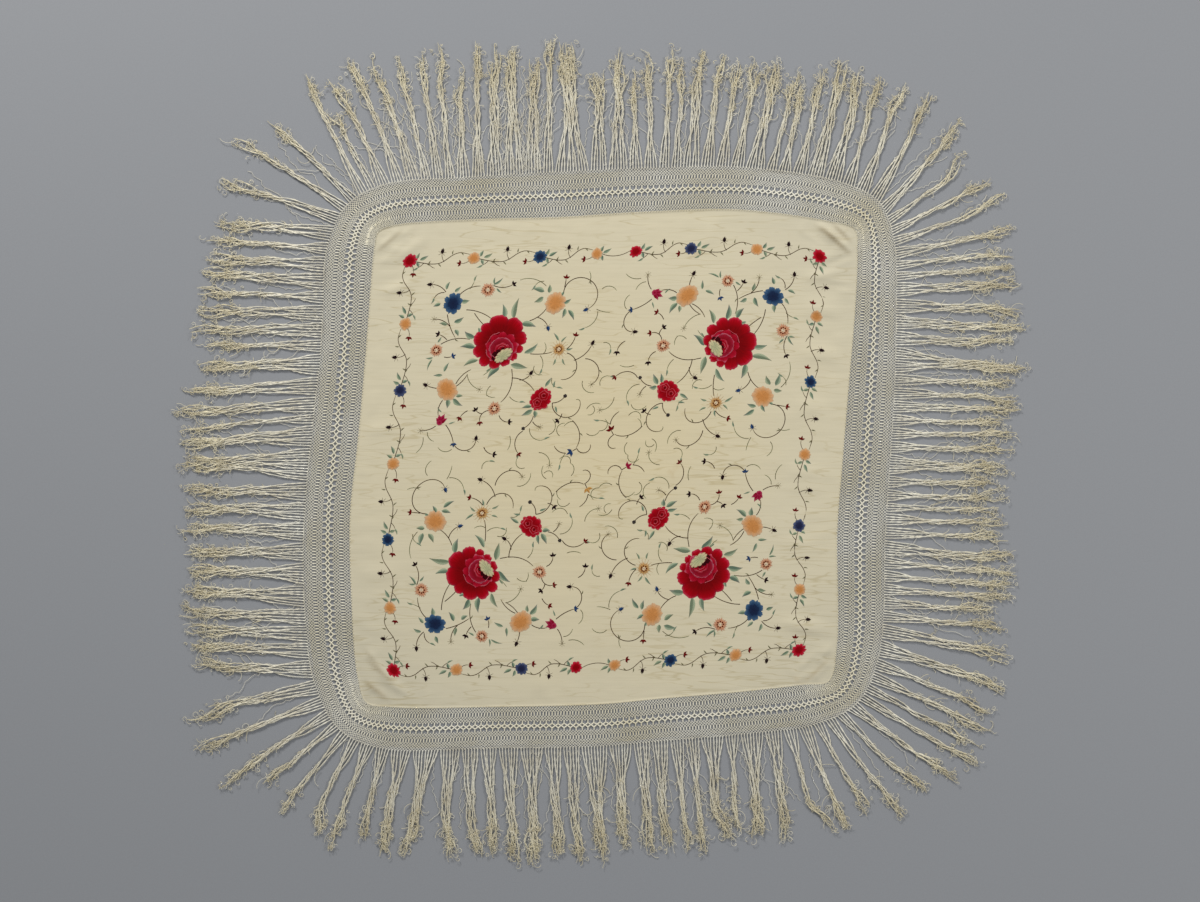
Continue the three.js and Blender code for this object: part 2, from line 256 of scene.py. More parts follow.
def threadMaterial(look, colourOf, **inputs):  # a thread whose twist shows as a fine bump
    material, tree, sockets, place = startMaterial(look["name"], IOR=1.54, **inputs)
    tree.links.new(colourOf(tree, place), sockets["Base Color"])
    twist = addNode(tree, "TexNoise", {"Scale": 1000 / look["twist"], "Detail": 1, "Vector": place})
    bump = addNode(tree, "Bump", {"Strength": look["relief"], "Distance": 0.0003, "Height": twist})
    tree.links.new(bump, sockets["Normal"])
    return material


# Plied silk cord, knotted by hand: matte and cream, a little soiled in cloudy patches.
netLook = {
    "name": "plied silk cord",
    "clean": "#FBF5E2",
    "soiled": "#E6DAB4",
    "twist": 1.6,  # mm for one twist of the cord
    "relief": 0.5,
}


def netColour(tree, place):
    cloud = addNode(tree, "TexNoise", {"Scale": 5, "Detail": 5, "Vector": place})
    return addNode(tree, "ValToRGB", {0: cloud}, stops=[(0.35, netLook["clean"]), (0.75, netLook["soiled"])])


# Loose silk strands: soft sheen, cream at the net and yellowed where the tips have been handled.
strandLook = {
    "name": "loose silk strand",
    "age": [(0.0, "#F8F3E2"), (0.55, "#F5EED8"), (1.0, "#EEE2BC")],  # from the net to the tip
    "uneven": [(0.3, "#E6E2DA"), (0.7, white)],
    "twist": 1.4,
    "relief": 0.4,
}


def strandColour(tree, place):
    age = addNode(tree, "Attribute", out="Fac", attribute_name="age")
    colour = addNode(tree, "ValToRGB", {0: age}, stops=strandLook["age"])
    cloud = addNode(tree, "TexNoise", {"Scale": 14, "Detail": 4, "Vector": place})
    shade = addNode(tree, "ValToRGB", {0: cloud}, stops=strandLook["uneven"])
    return addNode(tree, "Mix", {0: 1, 6: colour, 7: shade}, **multiplied)


# Untwisted silk floss in satin stitch: glossy along the stitches, which lie side by side.
flossLook = {
    "stitch": 1.1,  # mm between stitches, drawn coarser than the real 0.4
    "uneven": [(0.3, "#CFCFCF"), (0.62, white)],
}


def flossMaterial():
    material, tree, inputs, _ = startMaterial(
        "satin stitched silk floss", Roughness=0.5, Specular_IOR_Level=0.06, IOR=1.54)
    tint = addNode(tree, "Attribute", out="Color", attribute_name="tint")
    stitch = addNode(tree, "UVMap", uv_map="stitches")  # a unit of the map is 100 mm
    across = addNode(tree, "VectorMath", {0: stitch, 1: (100 / flossLook["stitch"], 4, 1)},
                     operation="MULTIPLY")
    thread = addNode(tree, "TexNoise", {"Scale": 1, "Detail": 2, "Vector": across})
    shade = addNode(tree, "ValToRGB", {0: thread}, stops=flossLook["uneven"])
    colour = addNode(tree, "Mix", {0: 1, 6: tint, 7: shade}, **multiplied)
    tree.links.new(colour, inputs["Base Color"])
    bump = addNode(tree, "Bump", {"Strength": 0.5, "Distance": 0.0004, "Height": thread})
    tree.links.new(bump, inputs["Normal"])
    return material


# Background paper: matte and plain, a middle grey that the cream net and fringe stand out from.
floorLook = {"grain": [(0.3, "#98999B"), (0.7, "#9C9D9F")], "side": 60, "below": 0.0004}  # metres


def layFloor():
    material, tree, inputs, place = startMaterial("background paper", Roughness=0.95, Specular_IOR_Level=0.1)
    grain = addNode(tree, "TexNoise", {"Scale": 300, "Detail": 2, "Vector": place})
    colour = addNode(tree, "ValToRGB", {0: grain}, stops=floorLook["grain"])
    tree.links.new(colour, inputs["Base Color"])
    half, z = floorLook["side"] / 2, -floorLook["below"]
    mesh = bpy.data.meshes.new("paper_floor")
    mesh.from_pydata([(-half, -half, z), (half, -half, z), (half, half, z), (-half, half, z)], [],
                     [(0, 1, 2, 3)])
    floor = bpy.data.objects.new("paper_floor", mesh)
    floor.data.materials.append(material)
    bpy.context.scene.collection.objects.link(floor)


# Meshes
def makePiece(name, points, faces, material, replaced=(), attributes=None, uv=None):
    points = np.asarray(points, float)
    points[:, 2] = np.maximum(points[:, 2], 0.05)  # cords lie on the floor, flattened a little
    mesh = bpy.data.meshes.new(name)
    mesh.vertices.add(len(points))
    mesh.vertices.foreach_set("co", (points / 1000).ravel())
    corners = np.concatenate([f.ravel() for f in faces])
    sizes = np.concatenate([np.full(len(f), f.shape[1]) for f in faces])
    mesh.loops.add(len(corners))
    mesh.loops.foreach_set("vertex_index", corners)
    mesh.polygons.add(len(sizes))
    mesh.polygons.foreach_set("loop_start", np.cumsum(sizes) - sizes)
    mesh.polygons.foreach_set("use_smooth", np.ones(len(sizes), bool))
    mesh.update(calc_edges=True)
    for key, values in (attributes or {}).items():
        kind = "FLOAT" if values.ndim == 1 else "FLOAT_COLOR"
        layer = mesh.attributes.new(key, kind, "POINT")
        if kind == "FLOAT":
            layer.data.foreach_set("value", values)
        else:
            layer.data.foreach_set("color", np.hstack([values, np.ones((len(values), 1))]).ravel())
    if uv is not None:
        mesh.uv_layers.new(name="stitches").data.foreach_set("uv", uv[corners].ravel())
    mesh.materials.append(material)
    piece = bpy.data.objects.new(name, mesh)
    bpy.context.scene.collection.objects.link(piece)
    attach(piece, "root")
    if replaced:
        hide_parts(*replaced)
    print(f"{name}: {int((sizes - 2).sum())} triangles")
    return piece


def gridFaces(down, across, first=0, flip=False):  # quads of a grid of points, row by row
    n = np.arange(down * across).reshape(down, across) + first
    quads = np.stack([n[:-1, :-1], n[:-1, 1:], n[1:, 1:], n[1:, :-1]], -1).reshape(-1, 4)
    return quads[:, ::-1] if flip else quads


def tubes(paths, radii, sides=3, flatten=1.0):  # paths: count x points x 3
    count, steps, _ = paths.shape
    ahead = np.gradient(paths, axis=1)
    level = np.stack([-ahead[..., 1], ahead[..., 0], np.zeros((count, steps))], -1)
    level /= np.maximum(np.linalg.norm(level, axis=-1, keepdims=True), 1e-9)
    upward = np.cross(ahead, level)
    upward /= np.maximum(np.linalg.norm(upward, axis=-1, keepdims=True), 1e-9)
    turns = 2 * math.pi * np.arange(sides) / sides - math.pi / 2
    spread = (np.cos(turns)[:, None] * level[..., None, :]
              + flatten * np.sin(turns)[:, None] * upward[..., None, :])
    points = (paths[:, :, None] + radii[..., None, None] * spread).reshape(-1, 3)
    n = np.arange(count * steps * sides).reshape(count, steps, sides)
    after = np.roll(n, -1, axis=2)
    quads = np.stack([n[:, :-1], after[:, :-1], after[:, 1:], n[:, 1:]], -1).reshape(-1, 4)
    return points, quads


def beads(centres, ahead, size):  # small knots: four-sided lumps, flat underneath
    side = np.stack([-ahead[:, 1], ahead[:, 0], np.zeros(len(ahead))], -1)
    corners = np.stack([centres + size * ahead, centres + size * side, centres - size * ahead,
                        centres - size * side, centres + (0, 0, 0.7 * size)], 1)
    pattern = np.array([[0, 1, 4], [1, 2, 4], [2, 3, 4], [3, 0, 4], [2, 1, 0], [3, 2, 0]])
    faces = (np.arange(len(centres))[:, None, None] * 5 + pattern).reshape(-1, 3)
    return corners.reshape(-1, 3), faces


def joined(parts):  # lists of (points, faces) become one
    points = [somePoints for somePoints, _ in parts]
    first = np.cumsum([0] + [len(somePoints) for somePoints in points])
    return np.concatenate(points), [someFaces + n for (_, someFaces), n in zip(parts, first)]


# The laid-out edges, clockwise from the upper left corner, seven stations to a side.
stations = rows("silkX silkY netX netY", [
    (-600, 591, -678, 667), (-554, 610, -583, 718), (-351, 625, -362, 738), (-108, 632, -113, 753),
    (135, 647, 138, 764), (378, 652, 400, 764), (616, 621, 661, 721),
    (688, 599, 756, 667), (695, 537, 794, 562), (689, 381, 799, 375), (672, 178, 795, 175),
    (655, -30, 782, -32), (641, -213, 770, -221), (640, -524, 754, -543),
    (618, -621, 697, -675), (545, -632, 580, -737), (365, -652, 378, -764), (175, -668, 184, -779),
    (0, -684, 3, -796), (-270, -691, -273, -800), (-562, -692, -586, -802),
    (-632, -679, -702, -751), (-655, -610, -770, -626), (-672, -389, -799, -386),
    (-675, -173, -797, -167), (-653, 38, -778, 40), (-632, 273, -753, 278), (-609, 553, -732, 567),
])
outlineMiddle = np.array([-4.2, -6.6])  # where the stations' own origin has the shawl's middle


def closedCurve(points, steps=40):  # through the points, with even knots by root distance
    curve = []
    for i in range(len(points)):
        a, b, c, d = (points[(i + k) % len(points)] for k in (-1, 0, 1, 2))
        before, here, after = (np.linalg.norm(q - p) ** 0.5 for p, q in ((a, b), (b, c), (c, d)))
        leave = ((b - a) / before - (c - a) / (before + here) + (c - b) / here) * here
        arrive = ((c - b) / here - (d - b) / (here + after) + (d - c) / after) * here
        t = (np.arange(steps) / steps)[:, None]
        curve.append(b + leave * t + (3 * (c - b) - 2 * leave - arrive) * t ** 2
                     + (2 * (b - c) + leave + arrive) * t ** 3)
    return np.concatenate(curve)


def lengthsAlong(points):
    return np.concatenate([[0], np.cumsum(np.linalg.norm(np.diff(points, axis=0), axis=1))])


def splitSides():
    inner = closedCurve(np.stack([column(stations, "silkX"), column(stations, "silkY")], -1))
    outer = closedCurve(np.stack([column(stations, "netX"), column(stations, "netY")], -1))
    inner, outer = inner - outlineMiddle, outer - outlineMiddle
    quarter = len(inner) // 4
    sides = []
    for side in range(4):
        picked = (np.arange(quarter + 1) + side * quarter) % len(inner)
        silk, net = inner[picked], outer[picked]
        sides.append({"silk": silk, "silkAt": lengthsAlong(silk), "net": net, "netAt": lengthsAlong(net)})
    return sides


edges = splitSides()


def alongEdge(places, at, lengths):
    return np.stack([np.interp(lengths, at, places[:, 0]), np.interp(lengths, at, places[:, 1])], -1)


def crossing(side, lengths):  # start on the silk, direction outwards, width of the net there
    edge = edges[side]
    start = alongEdge(edge["silk"], edge["netAt"], lengths)
    end = alongEdge(edge["net"], edge["netAt"], lengths)
    width = np.linalg.norm(end - start, axis=-1)
    return start, (end - start) / width[..., None], width


def border(side, lengths, share):  # a place on the net, share 0 at the silk and 1 at the fringe
    start, out, width = crossing(side, lengths)
    return start + out * (width * share)[..., None]


def netLength(side):
    return edges[side]["netAt"][-1]


# The silk
cloth = {
    "side": 1267,  # of the flat square, with its hem
    "thickness": 1.2,
    "hem": 4,
    "hemHeight": 0.5,
    "margin": 190,  # where its small puckers are, with this many lines of the mesh on each side
    "marginLines": 30,
    "middleLines": 62,
}
creases = rows("x y turn length width height", [  # the large folds of the laid-out silk
    (626, 576, -40, 112, 36, 5), (590, 536, -38, 96, 32, 3.5), (604, 470, 2, 140, 40, 4),
    (600, 380, -4, 150, 44, 4), (585, 262, -6, 170, 46, 4), (575, 118, -6, 150, 46, 4),
    (560, -60, -8, 150, 44, 4), (545, -250, -4, 150, 44, 4), (540, -470, -10, 150, 42, 4),
    (-520, 540, 34, 160, 38, 4), (-545, 440, 20, 120, 36, 3.5), (-585, 60, 5, 130, 42, 3.5),
    (-590, -330, 3, 140, 42, 3.5), (-570, -620, -38, 130, 36, 4), (300, 585, 84, 100, 40, 3.5),
    (-160, -630, 88, 100, 40, 3.5),
])
cornerPulls = rows("x y turn length width height", [  # small ones across the corners
    (639, 574, -43, 126, 16, 5.6), (658, 592, -46, 84, 15, 3.4), (612, 594, -36, 90, 16, 2.6),
    (572, 574, -36, 120, 21, 2.0), (600, 505, -28, 110, 24, 1.6), (590, -598, 44, 124, 26, 3.2),
    (558, -568, 42, 112, 22, 2.0), (604, -548, 52, 104, 20, 2.0), (544, -612, 37, 84, 19, 1.7),
    (-602, -650, -38, 92, 19, 2.6), (-540, -644, -30, 120, 22, 2.0), (-590, -592, -40, 122, 24, 2.2),
    (-612, -558, -50, 92, 20, 1.6), (-572, 570, 40, 112, 20, 2.6), (-556, 538, 44, 132, 24, 2.0),
    (-530, 586, 32, 92, 19, 1.6),
])
shadedSoiledFolds = rows("x y turn length width depth", [  # where folds across the corners darken: painted fold shade, with some soil
    (634, 569, -43, 122, 11, 0.55), (653, 588, -46, 80, 10, 0.35), (606, 590, -36, 80, 10, 0.25),
    (-604, -646, -38, 92, 12, 0.45), (-592, -596, -40, 112, 11, 0.4), (-614, -562, -50, 84, 10, 0.25),
    (584, -594, 44, 112, 12, 0.3), (-568, 566, 40, 104, 11, 0.25),
])
puckers = rows("side step depth low high", [  # those that run in from the net, side by side
    (0, 50, 62, 0.7, 1.9), (1, 34, 118, 1.2, 2.9), (2, 58, 56, 0.7, 1.8), (3, 42, 98, 0.8, 2.3),
])
puckering = {
    "clear": 40,  # of a side's ends
    "stray": 9,  # along the side
    "swing": 7,  # degrees
    "uneven": (0.5, 1.4),  # shares of their depth
    "width": (16, 27),
}
faintFolds = {  # across the middle, mostly along the weft
    "count": 46,
    "within": 520,
    "swing": 9,
    "length": (140, 380),
    "width": (40, 64),
    "height": (0.5, 1.1),
}


def smallWrinkles():
    found = []
    for each in puckers:
        for length in np.arange(puckering["clear"], netLength(each.side) - puckering["clear"], each.step):
            strayed = np.array([length + rng.uniform(-puckering["stray"], puckering["stray"])])
            start, out, _ = crossing(each.side, strayed)
            reach = each.depth * rng.uniform(*puckering["uneven"])
            middle = start[0] - out[0] * (reach * 0.5) + outlineMiddle
            turn = math.degrees(math.atan2(out[0, 1], out[0, 0])) + rng.normal(0, puckering["swing"])
            width = rng.uniform(*puckering["width"])
            found.append((*middle, turn, reach * 1.1, width, rng.uniform(each.low, each.high)))
    for _ in range(faintFolds["count"]):
        place = rng.uniform(-faintFolds["within"], faintFolds["within"], 2)
        turn = rng.normal(2, faintFolds["swing"])
        sizes = [rng.uniform(*faintFolds[key]) for key in ("length", "width", "height")]
        found.append((*place, turn, *sizes))
    return cornerPulls + rows("x y turn length width height", found)


wrinkles = smallWrinkles()


def foldShares(fold, places):  # how far along and across a fold, 1 at its ends and sides
    offset = turned(places + outlineMiddle - (fold.x, fold.y), -fold.turn)
    return offset[..., 0] / (fold.length / 2), offset[..., 1] / (fold.width / 2)


def creaseHeight(places):
    total = np.zeros(places.shape[:-1])
    for crease in creases + wrinkles:
        along, across = foldShares(crease, places)
        total += crease.height * np.clip(1 - along ** 2, 0, 1) ** 2 * np.exp(-1.6 * across ** 2)
    return total


def foldShadeAndSoil(places):  # 0 to 1, painted shade along the corner folds, with some soil
    clean = np.ones(places.shape[:-1])
    for fold in shadedSoiledFolds:
        along, across = foldShares(fold, places)
        clean *= 1 - fold.depth * np.clip(1 - along ** 2, 0, 1) * np.exp(-across ** 2)
    return 1 - clean


def silkEdge(side, share):  # places on a laid edge, at shares of its length
    edge = edges[side]
    return alongEdge(edge["silk"], edge["silkAt"], share * edge["silkAt"][-1])


def laidOut(flat):  # where a place on the flat silk lies: its four edges blended across it
    s, t = np.clip(np.moveaxis(flat / cloth["side"] + 0.5, -1, 0), 0, 1)
    upper, right, lower, left = silkEdge(0, s), silkEdge(1, 1 - t), silkEdge(2, 1 - s), silkEdge(3, t)
    s, t = s[..., None], t[..., None]
    corners = ((1 - s) * t * edges[0]["silk"][0] + s * t * edges[1]["silk"][0]
               + s * (1 - t) * edges[2]["silk"][0] + (1 - s) * (1 - t) * edges[3]["silk"][0])
    return lower * (1 - t) + upper * t + left * (1 - s) + right * s - corners


def onSilk(flat, height):  # points this high over the top of the silk
    places = laidOut(flat)
    tops = cloth["thickness"] + creaseHeight(places) + height
    return np.concatenate([places, tops[..., None]], -1)


def silkCloth():  # its hem is rounded at the edge, thick, and steps down to the cloth
    half = cloth["side"] / 2
    inner = half - cloth["margin"]  # the puckers are outside this, so the lines lie closer there
    edge = half - np.array([0, 0.3, 0.8]) * cloth["hem"]
    margin = np.linspace(half - cloth["hem"], inner, cloth["marginLines"], endpoint=False)
    middle = np.linspace(-inner, inner, cloth["middleLines"])
    lines = np.concatenate([-edge, -margin, middle, margin[::-1], edge[::-1]])
    flat = np.stack(np.meshgrid(lines, lines), -1)
    fromEdge = half - np.abs(flat).max(-1)
    hem = cloth["hemHeight"] * ease(0, 1.2, fromEdge) * (1 - ease(3.2, 4, fromEdge))
    top = onSilk(flat, hem)
    under = top.copy()
    under[..., 2] = np.maximum(top[..., 2] - hem - cloth["thickness"], 0)
    size = len(lines)
    count = size * size
    n = np.arange(count).reshape(size, size)
    rim = np.concatenate([n[0, :-1], n[:-1, -1], n[-1, :0:-1], n[:0:-1, 0]])
    after = np.roll(rim, -1)
    faces = [gridFaces(size, size), gridFaces(size, size, count, flip=True),
             np.stack([rim, rim + count, after + count, after], -1)]
    points = np.concatenate([top.reshape(-1, 3), under.reshape(-1, 3)])
    return makePiece("silk_cloth", points, faces, silkMaterial(), ["silk_panel"],
                     {"foldShadeAndSoilShare": foldShadeAndSoil(points[:, :2])})


# The knotted net: levels of knots from the silk outwards. A cord runs from each knot to those of
# the next level whose place is `reach` away: 0 makes bars, 0.5 small lozenges and 1 large ones.
net = {
    "columns": 8.1,  # from one column of knots to the next
    "cordHeight": 2.5,  # of its middle, over the floor
    "fringeFrom": 0.94,  # the share of its width where its last rows hang with the fringe
    "unevenness": 0.4,
    "fatCord": 1.5,  # cords thicker than this have four sides and swell
}
netLevels = rows("share place step reach knot cord", [
    (-0.012, 0.0, 1, 0.5, 1.2, 0.78), (0.036, 0.5, 1, 0.5, 1.4, 0.84), (0.072, 0.0, 1, 0.5, 1.4, 0.84),
    (0.108, 0.5, 1, 0.5, 1.4, 0.84), (0.146, 0.0, 1, 0.0, 1.7, 1.85), (0.218, 0.0, 1, 0.5, 1.5, 0.84),
    (0.254, 0.5, 1, 0.5, 1.4, 0.84), (0.290, 0.0, 1, 0.5, 1.4, 0.84), (0.326, 0.5, 1, 0.5, 1.4, 0.84),
    (0.362, 0.0, 1, 0.0, 2.1, 1.9), (0.426, 0.0, 2, 1.0, 2.9, 2.0), (0.479, 1.0, 2, 1.0, 2.8, 2.0),
    (0.532, 0.0, 2, 0.0, 2.9, 1.9), (0.596, 0.0, 1, 0.5, 1.6, 0.84), (0.631, 0.5, 1, 0.5, 1.4, 0.84),
    (0.666, 0.0, 1, 0.5, 1.4, 0.84), (0.701, 0.5, 1, 0.5, 1.4, 0.84), (0.736, 0.0, 1, 0.0, 1.7, 1.85),
    (0.802, 0.0, 1, 0.5, 1.5, 0.84), (0.836, 0.5, 1, 0.5, 1.4, 0.84), (0.870, 0.0, 1, 0.5, 1.4, 0.84),
    (0.903, 0.5, 1, 0.5, 1.4, 0.84), (0.936, 0.0, 1, 0.5, 1.4, 0.84), (0.970, 0.5, 1, 0.5, 1.4, 0.84),
    (1.004, 0.0, 1, 0.5, 2.2, 0.78),
])


def columnCount(side):
    return 2 * round(netLength(side) / net["columns"] / 2)


def netKnots(side, level):
    count = columnCount(side)
    places = np.arange(level.place, count + 0.01, level.step)
    lengths = places / count * netLength(side)
    xy = border(side, lengths, np.full(len(places), level.share))
    xy = xy + rng.normal(0, net["unevenness"], xy.shape)
    return places, np.concatenate([xy, np.full((len(xy), 1), net["cordHeight"])], -1), lengths


def netPart(side, levels):
    parts = []
    placed = [netKnots(side, level) for level in levels]
    for (_, knots, lengths), level in zip(placed, levels):
        _, out, _ = crossing(side, lengths)
        ahead = np.concatenate([out, np.zeros((len(out), 1))], -1)
        parts.append(beads(knots + (0, 0, 0.3), ahead, level.knot))
    for level, (places, knots, _), (nextPlaces, nextKnots, _) in zip(levels, placed, placed[1:]):
        apart = np.abs(places[:, None] - nextPlaces[None, :])
        here, there = np.nonzero(np.abs(apart - level.reach) < 0.01)
        fat = level.cord > net["fatCord"]
        steps = np.linspace(0, 1, 3 if fat else 2)[None, :, None]
        paths = knots[here][:, None] * (1 - steps) + nextKnots[there][:, None] * steps
        swell = np.array([0.8, 1.0, 0.8]) if fat else np.ones(2)
        radii = np.tile(level.cord * swell, (len(here), 1))
        parts.append(tubes(paths, radii, 4 if fat else 3, 0.75))
    return parts


def knottedNets():
    material = threadMaterial(netLook, netColour, Roughness=0.72, Sheen_Weight=0.15, Specular_IOR_Level=0.3)
    inner = [level for level in netLevels if level.share < net["fringeFrom"]]
    pieces = []
    for side, name in enumerate(sideNames):
        points, faces = joined(netPart(side, inner))
        pieces.append(makePiece(f"knotted_net_{name}", points, faces, material, [f"net_{name}"]))
    return pieces


# The fringe as it lies: how many strands each tuft gathers, how far it reaches from the net,
# how far its tip leans clockwise along the edge, and how far its head hooks that way.
tufts = {name: rows("strands reach lean hook", data, (0,)) for name, data in {
    "upper": [
        (4, 320, -34, -10), (4, 348, 28), (3, 250, -22), (5, 318, -60), (5, 346, -64), (5, 334, -58),
        (4, 336, -34), (4, 344, -6), (4, 358, 6), (5, 290, 20, 8), (5, 356, 30), (6, 346, 28),
        (7, 350, 16), (6, 302, 20), (4, 352, 26), (12, 342, 0), (6, 288, 6, -10), (7, 322, 4),
        (5, 262, -14), (5, 306, -18), (4, 334, 6), (4, 294, 0, -10), (6, 318, -6, 10), (5, 302, -4, 12),
        (5, 280, -2), (5, 292, 4), (7, 286, 0), (4, 272, 6), (5, 246, -18, 8), (5, 288, -22),
        (6, 310, -30), (6, 298, -36, -12), (5, 296, -62, 12), (5, 310, -72, 18), (5, 314, -70),
    ],
    "right": [
        (5, 308, -52), (4, 268, -28, -24), (4, 296, -28), (4, 316, -26, -14), (5, 336, -4),
        (4, 312, 0, 12), (4, 334, 0), (6, 334, -10), (6, 332, -2, 14), (6, 344, 0), (6, 308, 0, -16),
        (10, 344, 12), (5, 326, 0), (5, 326, 4, 8), (5, 336, 0), (5, 298, 6), (5, 356, -2), (5, 326, 6),
        (8, 312, 8), (5, 306, -4), (5, 324, -4, -12), (4, 298, -6), (5, 332, -8), (5, 334, -10),
        (6, 348, 14, -14), (5, 350, 6), (5, 364, 0), (5, 350, -8), (5, 294, -8), (5, 338, -6),
        (6, 356, 28), (7, 356, 62), (5, 344, 58), (5, 350, 40), (4, 342, 22), (4, 366, 2),
    ],
    "lower": [
        (5, 344, -34), (4, 312, -50, -14), (4, 320, -52), (4, 276, -44), (5, 322, -40),
        (5, 284, -12, -46), (6, 294, 20), (8, 288, 26), (5, 282, 22), (8, 276, 16, -30), (5, 320, -2),
        (5, 314, -2), (6, 296, 14, -12), (6, 300, -6), (8, 286, 8), (9, 312, -14), (6, 304, -16),
        (6, 308, -20), (8, 318, -12), (7, 314, -26), (6, 288, -32, 12), (6, 292, -26, -14),
        (7, 280, -4, -18), (9, 286, 18, 10), (7, 286, 14, -12), (5, 268, 4, -10), (5, 302, 2),
        (4, 280, -14, -20), (4, 268, 0),
    ],
    "left": [
        (4, 250, 6), (5, 344, -10, -14), (5, 354, -2), (6, 348, -8, -14), (7, 316, 40, 8), (6, 322, 34),
        (6, 326, 22), (6, 338, 14, 8), (8, 318, 10), (8, 308, 0), (7, 330, -16), (7, 324, 2),
        (7, 326, 0, -8), (7, 330, -12), (12, 350, -4), (8, 342, -26), (4, 360, -38), (6, 382, -38),
        (7, 352, -28, 8), (8, 322, -18), (5, 320, -14), (6, 354, -18), (6, 336, -6), (5, 338, 6),
        (6, 344, 18), (6, 314, 4), (5, 322, -4), (6, 306, -44), (5, 334, -56, 12), (4, 344, -44),
    ],
}.items()}
fringe = {
    "gatheredFrom": 0.42,  # shares of the length between which a tuft has drawn together
    "gatheredTo": 0.78,
    "lockSpacing": 11.5,  # between the locks of a tuft
    "strandsPerLock": 5,  # at most
    "lockTwist": 170,  # length in which the strands of a lock turn once round each other
    "lockWidth": 5.2,  # of the strands' way out from the middle of their lock
    "lengths": (0.84, 1.03),  # of its strands, as shares of a tuft's reach
    "waves": [(2.0, 2.2), (1.2, 5.3)],  # how far a strand sways, and how many times along it
    "lowest": 2.2,  # height of a strand at the net
    "piled": 1.6,  # and how much a drawn tuft rises over it on average
    "steps": 18,
    "thread": 1.35,  # radius; a strand is two threads twisted loosely together
    "kink": 1.1,  # how far a thread strays from its line at each step
    "headFrom": 0.72,  # shares of the length where a head begins and is widest
    "headTo": 0.9,
    "splay": 6.5,  # how far its strands spread
    "twist": 34,  # length of one turn of the two threads
    "curlsPerThread": 4.0,
    "curlSteps": 9,
    "curlRadius": 0.7,
    "headShare": 0.66,  # of the curls, how many are in the frayed head of a tuft
    "headLength": 0.27,  # share of a strand's length that frays into its head
    "headWidth": 7.0,  # how far out from the strands they start
    "curledLength": 0.65,  # the same for the curls along a thread
    "curledWidth": 1.6,
    "hairShare": 0.08,  # and how many are long loose hairs
}
curlKinds = rows("loopFrom loopTo driftFrom driftTo", [
    (4, 11, 2, 4.4),  # a long loose hair
    (2.2, 6.2, 0.3, 1.7),  # in the frayed head of a tuft
    (1.2, 3.2, 1.2, 3.2),  # along a thread
])
looseThreads = rows("side first last count", [  # single threads between the tufts
    (0, 170, 540, 60), (0, 0, 1470, 40), (1, 0, 1360, 44), (2, 0, 1430, 44), (3, 0, 1450, 44),
])
loose = {
    "steps": 26,
    "shortest": 140,
    "longest": 330,
    "bend": 0.09,  # radians at each step
    "kink": 0.75,
    "thread": 0.6,  # radius
}


def tuftRoots(side):
    table = tufts[sideNames[side]]
    counts = column(table, "strands")
    pitch = netLength(side) / counts.sum()
    middles = (np.cumsum(counts) - counts / 2) * pitch
    return table, counts.astype(int), middles, pitch


def spine(side, tuft, middle, s):  # the middle line of a tuft, seen from above
    start, out, width = (np.squeeze(v) for v in crossing(side, np.array([middle])))
    along = np.array([out[1], -out[0]])
    aside = tuft.lean * s * (0.6 + 0.4 * s) + tuft.hook * ease(0.7, 1, s)
    return start + out * (width + s * tuft.reach)[:, None] + along * aside[:, None], along


def strandPaths(side):
    table, counts, middles, pitch = tuftRoots(side)
    s = np.linspace(0, 1, fringe["steps"])
    paths, ages = [], []
    for tuft, count, middle in zip(table, counts, middles):
        locks = math.ceil(count / fringe["strandsPerLock"])
        begins = rng.uniform(0, fullTurn, locks)
        drawn = ease(0, rng.uniform(fringe["gatheredFrom"], fringe["gatheredTo"]), s) ** 0.8
        for k in range(count):
            length = middle + (k + 0.5 - count / 2) * pitch
            root = border(side, np.array([length]), np.array([1.0]))[0]
            middleLine, along = spine(side, tuft, middle, s * rng.uniform(*fringe["lengths"]))
            lock = min(int(k * locks / count), locks - 1)
            phase = begins[lock] + 2.4 * k + 2 * math.pi * s * tuft.reach / fringe["lockTwist"]
            wide = fringe["lockWidth"] * (1 + 0.3 * np.sin(2.5 * s + phase[0]))
            gathered = (lock + 0.5 - locks / 2) * fringe["lockSpacing"] + wide * np.cos(phase)
            fan = (root - middleLine[0])[None, :] * (1 - drawn)[:, None]
            wave = np.zeros(len(s))
            for size, waves in fringe["waves"]:
                amount = size * (0.2 + 0.8 * s ** 1.4) * rng.uniform(0.5, 1)
                wave = wave + amount * np.sin(2 * math.pi * waves * s + rng.uniform(0, fullTurn))
            bulge = ease(fringe["headFrom"], fringe["headTo"], s)
            bulge = bulge * (1 - 0.3 * ease(fringe["headTo"], 1, s))
            splay = rng.normal(0, fringe["splay"]) * bulge
            aside = gathered * drawn + wave * ease(0, 0.2, s) + splay
            body = middleLine + fan + along * aside[:, None]
            height = fringe["lowest"] + drawn * (fringe["piled"] + fringe["piled"] * np.sin(phase))
            turn = 2 * math.pi * tuft.reach / fringe["twist"] * s + rng.uniform(0, fullTurn)
            for half in (0, math.pi):
                apart = fringe["thread"] * (0.75 + 0.7 * s)
                stray = rng.normal(0, fringe["kink"], len(s)) * (0.25 + s) * ease(0, 0.2, s)
                xy = body + along * (apart * np.cos(turn + half) + stray)[:, None]
                z = height + 0.6 * apart * (1 + np.sin(turn + half)) - 0.4
                paths.append(np.concatenate([xy, z[:, None]], -1))
                ages.append(s)
    return np.array(paths), np.array(ages)


